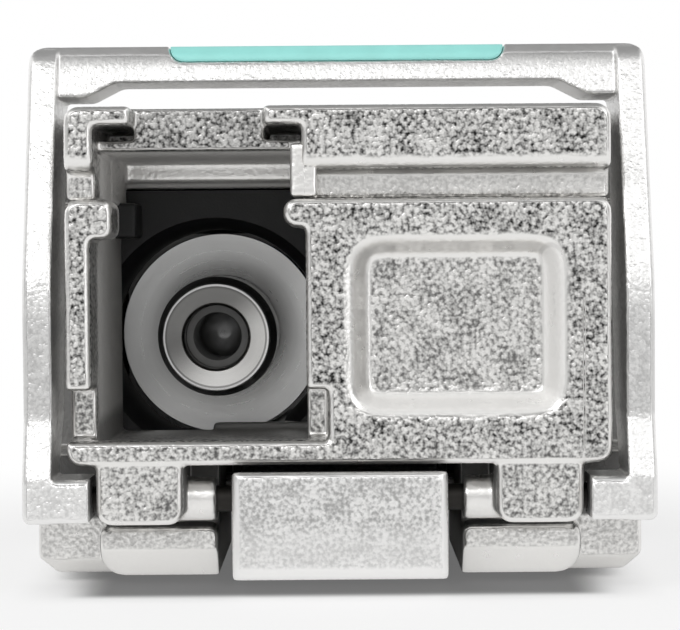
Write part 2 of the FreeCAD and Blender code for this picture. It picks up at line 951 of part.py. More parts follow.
def release_cam():
    """Cam on the axle: an involute whose flat-follower lift grows evenly with the bail's turn."""
    turn = math.radians(cam_turn)
    slope = cam_lift / turn

    def spiral(angle):
        reach = cam_base + slope * angle
        y = -reach * math.sin(angle) - slope * math.cos(angle)
        z = -reach * math.cos(angle) + slope * math.sin(angle)
        return V(-cam_width / 2, axle_y + y, axle_z + z)

    steps = 8
    curve = Part.BSplineCurve()
    curve.interpolate([spiral(turn * step / steps) for step in range(steps + 1)])
    low = V(-cam_width / 2, axle_y, axle_z - cam_base)
    back = V(-cam_width / 2, axle_y + cam_base, axle_z)
    high = V(-cam_width / 2, axle_y, axle_z + cam_base)
    edges = [
        Part.makeLine(low, spiral(0)),
        curve.toShape(),
        Part.makeLine(spiral(turn), high),
        Part.Arc(high, back, low).toShape(),
    ]
    cam = Part.Face(Part.Wire(edges)).extrude(V(cam_width, 0, 0))
    return cam.cut(cross_rod(axle_radius + seat_clearance, -cam_width, cam_width, axle_y, axle_z))


def latch_rocker():
    """Latch lever: scoop round the cam at the front, pivot eye in the middle, latch boss at the tail."""
    trough_front = lever_front + lever_front_wall
    trough_back = trough_front + trough_length
    trough_floor = axle_z - cam_base - lever_clearance
    wide_profile = [
        (lever_front, lever_top, edge_round),
        (lever_front, lever_bottom, lever_chin_round),
        (trough_back, lever_bottom, lever_chin_round),
        (trough_back + lever_arm_bottom - lever_bottom, lever_arm_bottom, 0),
        (-tail_gap, lever_arm_bottom, 0),
        (-tail_gap, lever_arm_top, 0),
        (trough_back, lever_arm_top, edge_round),
        (trough_back, trough_floor, edge_round),
        (trough_front, trough_floor, edge_round),
        (trough_front, lever_top, edge_round),
    ]
    wide = side_slab(wide_profile, -half_lever, half_lever)
    front_corners = [
        (-half_lever, lever_front, edge_round * 2),
        (half_lever, lever_front, edge_round * 2),
        (half_lever, -tail_gap, 0),
        (-half_lever, -tail_gap, 0),
    ]
    wide = wide.common(plan_slab(front_corners, lever_bottom, lever_top))
    eye = cross_rod(lever_eye, -half_lever, half_lever, lever_pivot_y, lever_pivot_z)
    tail_profile = [
        (-tail_gap - tail_thickness, 0, 0),
        (latch_shoulder, 0, 0),
        (latch_shoulder, -boss_height, 0),
        (latch_shoulder + boss_flat, -boss_height, 0),
        (latch_shoulder + boss_length, 0, 0),
        (tail_end, 0, 0),
        (tail_end, tail_thickness, 0),
        (-tail_gap - tail_thickness, tail_thickness, 0),
    ]
    tail = side_slab(tail_profile, -tail_width / 2, tail_width / 2)
    lever = fuse_all([wide, eye, tail])
    return lever.cut(
        cross_rod(lever_pin_radius + running_clearance, -half_lever, half_lever, lever_pivot_y, lever_pivot_z)
    )


def rocker_pin():
    """Pivot pin of the latch lever, pressed into the chin."""
    return cross_rod(lever_pin_radius, -half_chin, half_chin, lever_pivot_y, lever_pivot_z)


def latch_spring():
    """Leaf spring under the tunnel's roof that presses the lever's tail down."""
    top = nose_underside - seat_clearance
    fixed_end = channel_wall + spring_fixed_length
    tip_low = tail_thickness + lever_clearance
    profile = [
        (channel_wall, top, 0),
        (channel_wall, top - spring_thickness, 0),
        (fixed_end, top - spring_thickness, spring_thickness),
        (spring_tip, tip_low, 0),
        (spring_tip, tip_low + spring_thickness, 0),
        (fixed_end, top, spring_thickness),
    ]
    return side_slab(profile, -spring_width / 2, spring_width / 2)


def lc_receptacle():
    """Moulded block at the back of the port, with a round well for the barrel and its flange."""
    left = -tray_inside + loose_clearance
    deep_left = left - receptacle_seat
    top = cover_inside - loose_clearance
    body = front_slab(
        [
            (deep_left, lower_chamfer + floor_thickness, 0),
            (left + lower_chamfer, floor_thickness, 0),
            (receptacle_right, floor_thickness, 0),
            (receptacle_right, top, 0),
            (left, top, 0),
            (left, body_seam - loose_clearance, 0),
            (deep_left, body_seam - loose_clearance, 0),
        ],
        receptacle_front,
        receptacle_end,
    )
    well = port_rod(receptacle_bore, receptacle_front, receptacle_end)
    tunnel_half = half_tail_slot + channel_wall + loose_clearance
    tunnel = block(-tunnel_half, tunnel_half, 0, receptacle_end, 0, tunnel_top + seat_clearance)
    bulkhead_half = half_slot + channel_wall + loose_clearance
    bulkhead = block(
        -bulkhead_half, bulkhead_half, 0, channel_wall + loose_clearance, 0, tunnel_top + seat_clearance
    )
    return body.cut([well, tunnel, bulkhead])


def bosa_flange():
    """Coned flange ring round the barrel."""
    return port_turned(
        [
            (flange_front, flange_mouth),
            (flange_front + flange_cone, flange_radius),
            (flange_end, flange_radius),
            (flange_end, barrel_radius + seat_clearance),
            (flange_front + flange_mouth_depth, barrel_radius + seat_clearance),
            (flange_front + flange_mouth_depth, flange_mouth),
        ]
    )


def ferrule_barrel():
    """Turned barrel that takes the plug's ferrule."""
    barrel_end = barrel_front + barrel_length
    return port_turned(
        [
            (barrel_front, barrel_bore + mouth_chamfer),
            (barrel_front, barrel_radius - barrel_chamfer),
            (barrel_front + barrel_chamfer, barrel_radius),
            (barrel_end, barrel_radius),
            (barrel_end, barrel_bore),
            (barrel_front + mouth_chamfer, barrel_bore),
        ]
    )


def zirconia_sleeve():
    """Ceramic sleeve that lines up the plug's ferrule."""
    sleeve_end = sleeve_front + sleeve_length
    return port_turned(
        [
            (sleeve_front, ferrule_bore),
            (sleeve_front, sleeve_radius),
            (sleeve_end, sleeve_radius),
            (sleeve_end, ferrule_bore),
        ]
    )


def fibre_stub():
    """Ceramic stub behind the sleeve, with the fibre's end in its face."""
    stub_front = sleeve_front + sleeve_length
    return port_rod(sleeve_radius, stub_front, stub_front + stub_length)


def bosa_body():
    """Housing of the optical sub-assembly, with flats and a well for each can."""
    half = bosa_width / 2
    corners = [
        (port_x - half, optical_height - half, bosa_bevel),
        (port_x + half, optical_height - half, bosa_bevel),
        (port_x + half, optical_height + half, bosa_bevel),
        (port_x - half, optical_height + half, bosa_bevel),
    ]
    housing = front_slab(corners, flange_end, bosa_end)
    barrel_end = barrel_front + barrel_length
    return housing.cut(port_rod(barrel_radius + seat_clearance, flange_end, barrel_end))


def lead_bars(size, y0, y1):
    """Four square bars along Y at the corners of the lead square, on the line x = z = 0."""
    half = size / 2
    reach = lead_spacing / 2
    bars = []
    for x in (-reach, reach):
        for z in (-reach, reach):
            bars.append(block(x - half, x + half, y0, y1, z - half, z + half))
    return bars


def optical_can():
    """Can with its rim and leads along Y, from y = 0 to the rear, on the line x = z = 0."""
    rear = V(0, 1, 0)
    can = Part.makeCylinder(can_radius, can_length, V(0, 0, 0), rear)
    rim = Part.makeCylinder(can_rim_radius, can_rim, V(0, can_length - can_rim, 0), rear)
    return can.fuse([rim] + lead_bars(lead_size, can_length, can_length + lead_length))


def detector_y():
    """Place of the detector along the housing."""
    return flange_end + bosa_length / 2


def lead_holes():
    """Cutting bars for the holes that a can's leads pass through in a flexible circuit."""
    return Part.makeCompound(
        lead_bars(lead_size + 2 * seat_clearance, can_length, can_length + lead_length)
    )


def to_laser(shape):
    """Shape moved from the line x = z = 0 to the laser's place."""
    shape.translate(V(port_x, bosa_end, optical_height))
    return shape


def to_detector(shape):
    """Shape moved from the line x = z = 0 to the detector's place and turned to face right."""
    shape.rotate(V(0, 0, 0), V(0, 0, 1), -90)
    shape.translate(V(port_x + bosa_width / 2, detector_y(), optical_height))
    return shape


def laser_flex():
    """Flexible circuit from the laser's leads down on to the board."""
    start = bosa_end + can_length + seat_clearance
    landing = board_top + seat_clearance
    profile = [
        (start, optical_height + flex_width / 2, 0),
        (start, landing, flex_bend + flex_thickness),
        (board_front + flex_landing, landing, 0),
        (board_front + flex_landing, landing + flex_thickness, 0),
        (start + flex_thickness, landing + flex_thickness, flex_bend),
        (start + flex_thickness, optical_height + flex_width / 2, 0),
    ]
    strip = side_slab(profile, port_x - flex_width / 2, port_x + flex_width / 2)
    return strip.cut(to_laser(lead_holes()))


def detector_flex():
    """Flexible circuit from the detector's leads back on to the board."""
    start = port_x + bosa_width / 2 + can_length + seat_clearance
    low = optical_height - flex_width / 2
    landing = board_top + seat_clearance
    plate = [
        (start, detector_y() - flex_width / 2, 0),
        (start + flex_thickness, detector_y() - flex_width / 2, 0),
        (start + flex_thickness, board_front + flex_landing, 0),
        (start, board_front + flex_landing, 0),
    ]
    upright = plan_slab(plate, landing, optical_height + flex_width / 2)
    lower = plan_slab(
        [(u, min(v, detector_y() + flex_width / 2), radius) for u, v, radius in plate],
        low,
        landing,
    )
    shelf = block(
        start,
        start + flex_width / 2,
        board_front,
        board_front + flex_landing,
        landing,
        landing + flex_thickness,
    )
    strip = fuse_all([upright, lower, shelf])
    return strip.cut(to_detector(lead_holes()))


def bosa_pad():
    """Soft pad that the cover presses on the optical housing."""
    half = bosa_width / 2 - bosa_bevel
    return block(
        port_x - half,
        port_x + half,
        flange_end + bosa_bevel,
        bosa_end - bosa_bevel,
        optical_height + bosa_width / 2,
        cover_inside,
    )


def circuit_board():
    """Board with the rear edge tongue and notches for the screw posts."""
    corners = [
        (-half_board, board_front, 0),
        (half_board, board_front, 0),
        (half_board, tongue_start, 0),
        (half_tongue, tongue_start, tongue_round),
        (half_tongue, board_end, tongue_round),
        (-half_tongue, board_end, tongue_round),
        (-half_tongue, tongue_start, tongue_round),
        (-half_board, tongue_start, 0),
    ]
    notch_half = post_width / 2 + loose_clearance
    notches = both_sides(
        lambda: block(
            screw_x - notch_half,
            half_board,
            screw_y - notch_half,
            screw_y + notch_half,
            board_bottom,
            board_top,
        )
    )
    return plan_slab(corners, board_bottom, board_top).cut(notches)


def edge_contacts():
    """Gold pads on both faces of the tongue."""
    pads = []
    for index in range(pads_per_side):
        middle = (index - (pads_per_side - 1) / 2) * pad_pitch
        for low in (board_top, board_bottom - pad_thickness):
            pads.append(
                block(
                    middle - pad_width / 2,
                    middle + pad_width / 2,
                    board_end - pad_inset - pad_length,
                    board_end - pad_inset,
                    low,
                    low + pad_thickness,
                )
            )
    return Part.makeCompound(pads)


def driver_place():
    """Centre of the laser driver on the board."""
    return (0.0, board_front + flex_landing + driver_size)


def package(size, x, y):
    """Square chip package on the board's top, with its upper edges bevelled."""
    half = size / 2
    body = block(x - half, x + half, y - half, y + half, board_top, board_top + package_height)
    upper = [edge for edge in body.Edges if edge.BoundBox.ZMin > board_top + package_height / 2]
    return body.makeChamfer(package_edge, upper)


def controller_y():
    """Place of the controller along the board."""
    return driver_place()[1] + driver_size / 2 + controller_size


def amplifier_y():
    """Place of the amplifier along the board."""
    return controller_y() + controller_size / 2 + amplifier_size


def chip_row(length, width, height, x, first, count):
    """Row of small chip parts along the board, from first on, mirrored to both sides."""
    chips = []
    for index in range(count):
        y = first + width / 2 + index * (width + chip_gap)
        low, high = y - width / 2, y + width / 2
        for middle in (-x, x):
            chips.append(
                block(middle - length / 2, middle + length / 2, low, high, board_top, board_top + height)
            )
    return Part.makeCompound(chips)


def resistor_x():
    """Distance of the resistor rows from the middle, just clear of the amplifier."""
    return amplifier_size / 2 + chip_gap + resistor_length / 2


def capacitor_x():
    """Distance of the capacitor rows from the middle, just clear of the cover's ribs."""
    return rib_inner - capacitor_rib_gap - capacitor_length / 2


def thermal_pad():
    """Soft pad between the driver and the cover's pedestal."""
    x, y = driver_place()
    half = driver_size / 2 - package_edge
    low = board_top + package_height
    return block(x - half, x + half, y - half, y + half, low, low + thermal_pad_thickness)


def cover_screws():
    """Slotted screws, sunk in the cover, that hold it to the posts."""

    def screw():
        head = Part.makeCylinder(
            screw_head_radius,
            screw_head_height,
            V(screw_x, screw_y, body_height - screw_head_height),
        )
        shank = Part.makeCylinder(
            screw_radius, screw_length - screw_head_height, V(screw_x, screw_y, body_height - screw_length)
        )
        slot = block(
            screw_x - screw_head_radius,
            screw_x + screw_head_radius,
            screw_y - screw_slot_width / 2,
            screw_y + screw_slot_width / 2,
            body_height - screw_slot_depth,
            body_height,
        )
        return head.fuse(shank).cut(slot)

    return Part.makeCompound(both_sides(screw))


pieces = {
    "base_shell": base_shell(),
    "top_cover": top_cover(),
    "emi_collar": emi_collar(),
    "bail": bail(),
    "bail_tab": bail_tab(),
    "bail_axle": bail_axle(),
    "release_cam": release_cam(),
    "latch_rocker": latch_rocker(),
    "rocker_pin": rocker_pin(),
    "latch_spring": latch_spring(),
    "lc_receptacle": lc_receptacle(),
    "bosa_flange": bosa_flange(),
    "ferrule_barrel": ferrule_barrel(),
    "zirconia_sleeve": zirconia_sleeve(),
    "fibre_stub": fibre_stub(),
    "bosa_body": bosa_body(),
    "laser_can": to_laser(optical_can()),
    "detector_can": to_detector(optical_can()),
    "bosa_pad": bosa_pad(),
    "laser_flex": laser_flex(),
    "detector_flex": detector_flex(),
    "circuit_board": circuit_board(),
    "edge_contacts": edge_contacts(),
    "driver_chip": package(driver_size, *driver_place()),
    "controller_chip": package(controller_size, 0.0, controller_y()),
    "amplifier_chip": package(amplifier_size, 0.0, amplifier_y()),
    "chip_capacitors": chip_row(
        capacitor_length,
        capacitor_width,
        capacitor_height,
        capacitor_x(),
        driver_place()[1] - driver_size / 2,
        capacitor_count,
    ),
    "chip_resistors": chip_row(
        resistor_length,
        resistor_width,
        resistor_height,
        resistor_x(),
        amplifier_y() - amplifier_size / 2,
        resistor_count,
    ),
    "thermal_pad": thermal_pad(),
    "cover_screws": cover_screws(),
}

os.makedirs("parts", exist_ok=True)
for name, shape in pieces.items():
    solids = shape.Solids
    if not solids or not shape.isValid():
        raise ValueError(name + " is not a valid solid")
    shape.exportStep("parts/" + name + ".step")
    print(name, len(solids), round(shape.Volume, 3))
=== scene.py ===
import math

import bmesh
import bpy
from bpy.props import FloatProperty, FloatVectorProperty, IntProperty, PointerProperty
from mathutils import Euler, Matrix, Vector


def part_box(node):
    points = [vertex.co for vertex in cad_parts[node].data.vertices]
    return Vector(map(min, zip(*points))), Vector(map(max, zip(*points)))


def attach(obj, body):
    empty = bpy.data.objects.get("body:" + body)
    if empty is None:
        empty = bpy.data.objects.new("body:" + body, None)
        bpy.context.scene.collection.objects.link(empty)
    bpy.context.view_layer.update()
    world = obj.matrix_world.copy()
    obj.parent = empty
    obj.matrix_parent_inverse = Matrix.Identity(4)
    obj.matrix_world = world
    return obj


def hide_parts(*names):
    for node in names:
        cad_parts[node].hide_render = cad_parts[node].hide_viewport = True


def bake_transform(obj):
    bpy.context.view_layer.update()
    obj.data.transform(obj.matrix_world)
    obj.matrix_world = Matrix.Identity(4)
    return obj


bl_info = {
    "name": "Pluggable fibre transceiver",
    "version": (1, 0, 0),
    "blender": (4, 5, 0),
    "location": "3D View > Sidebar > Transceiver",
    "description": "Builds the looks of a pluggable fibre transceiver around its packed solids",
    "category": "Object",
}

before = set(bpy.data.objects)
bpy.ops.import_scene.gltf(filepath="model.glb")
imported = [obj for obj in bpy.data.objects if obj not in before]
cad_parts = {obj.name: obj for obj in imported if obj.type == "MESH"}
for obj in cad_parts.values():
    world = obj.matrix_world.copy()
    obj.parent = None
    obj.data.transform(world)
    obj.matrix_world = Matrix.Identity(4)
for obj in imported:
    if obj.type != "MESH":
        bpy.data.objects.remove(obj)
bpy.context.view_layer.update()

# One millimetre in the frame's metres, and the refractive index of the ceramic
MM = 0.001
ZIRCONIA_IOR = 2.15

# Points nearer than this many metres are one, and edges bent by more than this many radians stay sharp
TOUCH = 1e-7
CREASE = 0.6

# Sockets of a Mix node that hold its colours
MIX_FIRST = 6
MIX_SECOND = 7
MIX_RESULT = 2


# Settings that a user would change


def colour(name, description, value):
    """Colour property with a plain default."""
    return FloatVectorProperty(
        name=name, description=description, default=value, size=3, min=0.0, max=1.0, subtype="COLOR"
    )


def length(name, description, millimetres):
    """Length property, written in millimetres and kept in metres."""
    return FloatProperty(
        name=name,
        description=description,
        default=millimetres * MM,
        min=0.0,
        subtype="DISTANCE",
        unit="LENGTH",
        precision=6,
    )


def pass_count(name, description, value):
    """Number of smoothing passes."""
    return IntProperty(name=name, description=description, default=value, min=0)


def angle(name, description, degrees):
    """Angle property, written in degrees and kept in radians."""
    return FloatProperty(name=name, description=description, default=math.radians(degrees), subtype="ANGLE")


def amount(name, description, value):
    """Plain number that isn't below zero."""
    return FloatProperty(name=name, description=description, default=value, min=0.0)


class CastingSettings(bpy.types.PropertyGroup):
    """How the die-cast pieces are rounded and how coarse their skin is."""

    voxel: length("Voxel", "Cell size of the remeshed castings", 0.04)
    soften: pass_count("Soften", "Smoothing passes that round the edges", 30)
    bail_soften: pass_count("Bail soften", "Smoothing passes of the crisper bail and its tab", 7)
    pocket_soften: pass_count("Pocket soften", "Further smoothing passes of the pocket in the face", 180)
    seam: length("Seam", "Place along the module where the rounded front ends, under the collar", 0.5)
    grain: length("Grain", "Size of the coarse grain on the housing", 0.1)
    fine_grain: length("Fine grain", "Size of the grain on the bail and the lever", 0.085)


class FinishColours(bpy.types.PropertyGroup):
    """Colours of the finishes."""

    nickel: colour("Nickel", "Plated housing", (0.93, 0.92, 0.90))
    bail_nickel: colour("Bail nickel", "Lighter plating of the bail and the lever", (0.95, 0.945, 0.935))
    turquoise: colour("Colour tab", "Tab in the bail's bar", (0.35, 0.80, 0.75))
    ring: colour("Ring", "Dull ring round the barrel", (0.95, 0.95, 0.94))
    barrel: colour("Barrel", "Turned steel of the ferrule barrel", (0.93, 0.92, 0.9))
    steel: colour("Turned steel", "Cans of the laser and the detector", (0.66, 0.65, 0.64))
    pin: colour("Ground pin", "Cam, pivot pin and screws", (0.62, 0.61, 0.60))
    # The axle's near-black colour is painted shade for the gaps beside the lever
    axle: colour("Axle", "Oiled axle of the bail", (0.05, 0.047, 0.044))
    moulding: colour("Black moulding", "Block at the back of the port", (0.018, 0.018, 0.019))
    # The ceramic's dark colour is painted shade inside the barrel's bore
    ceramic: colour("Ceramic", "Sleeve and stub in the barrel", (0.27, 0.27, 0.265))
    sheet: colour("Spring sheet", "Stainless fingers and leaf spring", (0.68, 0.67, 0.65))
    gold: colour("Gold", "Contact pads and leads", (0.86, 0.62, 0.26))
    laminate: colour("Laminate", "Circuit board", (0.012, 0.085, 0.035))
    film: colour("Film", "Flexible circuits", (0.42, 0.17, 0.035))
    resin: colour("Resin", "Chip packages", (0.022, 0.022, 0.024))
    chip: colour("Chip body", "Capacitors and resistors", (0.36, 0.24, 0.15))
    pad: colour("Soft pad", "Pads under the cover", (0.30, 0.32, 0.34))


class CollarSettings(bpy.types.PropertyGroup):
    """Sizes of the spring-finger collar."""

    band_end: length("Band end", "Rear edge of the collar's closed band", 1.59)
    finger_width: length("Finger width", "Width of one spring finger", 1.25)
    finger_gap: length("Finger gap", "Gap between two spring fingers", 0.45)
    rise: length("Rise", "Height of a finger's crest over the body", 0.5)
    end_rise: length("End rise", "Height of a finger's free end over the body", 0.05)
    crest: length("Crest", "Length of a finger's flat crest", 1.2)
    thickness: length("Thickness", "Thickness of the sheet", 0.12)
    bend: length("Bend", "Radius at a finger's bends", 0.6)


class StudioSettings(bpy.types.PropertyGroup):
    """Camera and light."""

    distance: length("Camera distance", "From the camera to the front face", 60.0)
    height: length("Camera height", "Height of the camera over the body's underside", 6.04)
    pitch: angle("Pitch", "Downward tilt", 1.167)
    roll: angle("Roll", "Turn about the view", -0.45)
    yaw: angle("Yaw", "Turn to the right", 0.03)
    lens: amount("Lens", "Focal length on a 36 mm sensor", 142.9)
    key_strength: amount("Key", "Radiance of the key soft box", 2.6)
    fill_strength: amount("Fill", "Radiance of the fill soft box", 1.3)


def castings():
    """Casting settings of the scene."""
    return bpy.context.scene.transceiver_castings


def colours():
    """Finish colours of the scene."""
    return bpy.context.scene.transceiver_colours


def collar():
    """Collar settings of the scene."""
    return bpy.context.scene.transceiver_collar


def studio():
    """Studio settings of the scene."""
    return bpy.context.scene.transceiver_studio


# Shader maths


class Field:
    """Output socket of a shader node; maths on it adds Math nodes."""

    def __init__(self, finish, socket):
        self.finish = finish
        self.socket = socket

    def math(self, operation, *others):
        return self.finish.node("ShaderNodeMath", {"operation": operation}, self, *others)

    def __add__(self, other):
        return self.math("ADD", other)

    def __sub__(self, other):
        return self.math("SUBTRACT", other)

    def __rsub__(self, other):
        return self.finish.node("ShaderNodeMath", {"operation": "SUBTRACT"}, other, self)

    def __mul__(self, other):
        return self.math("MULTIPLY", other)

    def __pow__(self, other):
        return self.math("POWER", other)

    def __abs__(self):
        return self.math("ABSOLUTE")

    __radd__ = __add__
    __rmul__ = __mul__

    def largest(self, other):
        return self.math("MAXIMUM", other)

    def step(self, low, high):
        """Smooth step from 0 at low to 1 at high."""
        settings = {"interpolation_type": "SMOOTHSTEP"}
        return self.finish.node("ShaderNodeMapRange", settings, self, low, high)

    def span(self, low, high, blur):
        """One between two bounds, falling to zero over a blur outside each."""
        return self.step(low - blur, low) * self.step(high + blur, high)


class Tree:
    """Node tree with one method that makes any node."""

    def node(self, kind, settings=None, *values, output=0, **named):
        """New node: its settings first, then its sockets in order, then its sockets by name."""
        made = self.tree.nodes.new(kind)
        for key, value in (settings or {}).items():
            setattr(made, key, value)
        for index, value in enumerate(values):
            self.put(made.inputs[index], value)
        for key, value in named.items():
            self.put(made.inputs[key.replace("_", " ")], value)
        return Field(self, made.outputs[output]) if made.outputs else None

    def put(self, socket, value):
        """Link a field to a socket, or set the socket's own value."""
        if isinstance(value, Field):
            self.tree.links.new(value.socket, socket)
        elif socket.type == "RGBA" and len(value) == 3:
            socket.default_value = (*value, 1.0)
        else:
            socket.default_value = value


class Finish(Tree):
    """Node tree of a material or of the world."""

    def __init__(self, owner):
        owner.use_nodes = True
        self.tree = owner.node_tree
        self.tree.nodes.clear()

    def position(self, size):
        """Object coordinates in units of a length given in metres."""
        place = self.node("ShaderNodeTexCoord", None, output="Object")
        return self.node("ShaderNodeVectorMath", {"operation": "SCALE"}, place, Scale=1.0 / size)

    def parts(self, vector):
        """X, Y and Z of a vector."""
        split = self.node("ShaderNodeSeparateXYZ", None, vector).socket.node
        return [Field(self, socket) for socket in split.outputs]

    def around(self, centre):
        """Offsets in X and Z from an axis along Y, and the distance from it, in millimetres."""
        x, _, z = self.parts(self.position(MM))
        across = x - centre[0] / MM
        height = z - centre[1] / MM
        return across, height, (across * across + height * height) ** 0.5

    def noise(self, size, detail=2.0, stretch=None):
        """Noise with features of about this size in metres."""
        place = self.position(size)
        if stretch:
            place = self.node("ShaderNodeVectorMath", {"operation": "MULTIPLY"}, place, stretch)
        return self.node("ShaderNodeTexNoise", None, Vector=place, Scale=1.0, Detail=detail)

    def blend(self, factor, first, second):
        """Colour between two colours."""
        mixed = self.node("ShaderNodeMix", {"data_type": "RGBA"}, factor).socket.node
        self.put(mixed.inputs[MIX_FIRST], first)
        self.put(mixed.inputs[MIX_SECOND], second)
        return Field(self, mixed.outputs[MIX_RESULT])

    def normal(self):
        """X, Y and Z of the smooth normal, in the object's own frame."""
        return self.parts(self.node("ShaderNodeTexCoord", None, output="Normal"))

    def flatness(self, ragged):
        """One on faces that look about along an axis, zero on bevels, with a ragged border."""
        x, y, z = self.normal()
        return (abs(x).largest(abs(y)).largest(abs(z)) + (ragged - 0.5) * 0.1).step(0.90, 0.985)

    def bump(self, height, depth):
        """Normal from a height field, with its depth in metres."""
        return self.node("ShaderNodeBump", None, Strength=1.0, Distance=depth, Height=height)

    def ray(self, kind):
        """One for light rays of a kind, named as the Light Path node names it."""
        return self.node("ShaderNodeLightPath", None, output=kind)

    def surface(self, **sockets):
        """Principled surface to the output."""
        shader = self.node("ShaderNodeBsdfPrincipled", None, **sockets)
        self.node("ShaderNodeOutputMaterial", None, shader)


class Pattern(Tree):
    """Geometry tree that repeats a shape, with named inputs for its sizes."""

    def __init__(self, name):
        self.tree = bpy.data.node_groups.new(name, "GeometryNodeTree")
        self.keys = {}
        for way in ("INPUT", "OUTPUT"):
            self.tree.interface.new_socket("Geometry", in_out=way, socket_type="NodeSocketGeometry")
        self.inputs = self.tree.nodes.new("NodeGroupInput")

    def size(self, name, kind="Float"):
        """New named input."""
        made = self.tree.interface.new_socket(name, in_out="INPUT", socket_type="NodeSocket" + kind)
        self.keys[name] = made.identifier
        return Field(self, self.inputs.outputs[name])

    def repeat(self, shape):
        """Row of a shape, turned and placed, made real and given its finish, each from a named input."""
        count = self.size("Count", "Int")
        start = self.size("Start", "Vector")
        step = self.size("Step", "Vector")
        turn = self.size("Turn", "Vector")
        place = self.size("Place", "Vector")
        finish = self.size("Finish", "Material")
        settings = {"mode": "OFFSET"}
        line = self.node("GeometryNodeMeshLine", settings, Count=count, Start_Location=start, Offset=step)
        row = self.node("GeometryNodeInstanceOnPoints", None, Points=line, Instance=shape)
        row = self.node("GeometryNodeTransform", None, Geometry=row, Translation=place, Rotation=turn)
        real = self.node("GeometryNodeRealizeInstances", None, row)
        done = self.node("GeometryNodeSetMaterial", None, Geometry=real, Material=finish)
        self.node("NodeGroupOutput", None, done)

    def made(self, mesh, **sizes):
        """Plain mesh that the tree makes from a mesh and its sizes."""
        work = new_object(mesh.name + "_work", mesh)
        modifier = work.modifiers.new("pattern", "NODES")
        modifier.node_group = self.tree
        for name, value in sizes.items():
            modifier[self.keys[name]] = value
        result = applied(work)
        bpy.data.objects.remove(work)
        return result


def material(name):
    """New material and its finish."""
    made = bpy.data.materials.new(name)
    return made, Finish(made)


# Finishes


def shade(base, factor):
    """Colour made darker by a factor."""
    return tuple(channel * factor for channel in base)


# The masks of the castings take places in millimetres from the frame's origin, and normals


def sheltered(place, normal):
    """Two masks given painted shade: the walls of the fibre port, and its low part with faces in gaps where
    hardly any light falls.
    """
    x, y, z = place
    across, along, up = normal
    facing = along.step(-0.8, -0.95)
    nose = y.step(0.3, 0.0)
    inside = x.span(-5.75, -0.5, 0.1) * z.span(1.8, 9.0, 0.1) * y.step(-7.6, -6.6) * nose
    low = inside * z.step(2.6, 2.2)
    behind_hubs = y.step(-6.9, -6.7) * z.step(0.05, 0.15)
    deep = facing * y.step(-5.2, -4.7).largest(behind_hubs)
    beside_ears = abs(across).step(0.7, 0.9) * abs(x).step(6.35, 6.25)
    beside_ears = beside_ears * z.step(1.5, 1.4) * y.step(-8.9, -8.5)
    over_feet = up.step(0.7, 0.9) * z.span(-0.1, 0.08, 0.06) * y.step(-7.45, -7.25)
    gaps = deep.largest(beside_ears).largest(over_feet) * (1.0 - inside) * nose
    return inside * (1.0 - facing), low.largest(gaps)


def smooth_faces(place):
    """Flat faces without grain: the bosses beside the lever, the guide post and the strip beside it."""
    x, y, z = place
    boss = abs(x).span(2.75, 3.44, 0.06) * z.span(0.05, 1.15, 0.1)
    post = x.span(-1.09, -0.75, 0.03) * z.span(7.44, 8.68, 0.06)
    strip = x.span(-0.72, -0.48, 0.04) * z.span(7.41, 8.09, 0.06)
    return boss.largest(post.largest(strip) * y.step(-7.4, -7.8))


def pocket_walls(place, normal):
    """Two masks of the pocket in the face: walls that catch the light, and the wall and creases given
    painted shade.
    """
    x, y, z = place
    across, _, up = normal
    pocket = x.span(0.15, 5.15, 0.2) * z.span(2.35, 6.75, 0.2) * y.step(-7.9, -8.1)
    tilt = up.largest(0.0 - across)
    creases = tilt.span(0.35, 0.45, 0.1)
    left_wall = across.step(0.25, 0.6)
    return pocket * tilt.step(0.2, 0.6), pocket * left_wall.largest(creases)


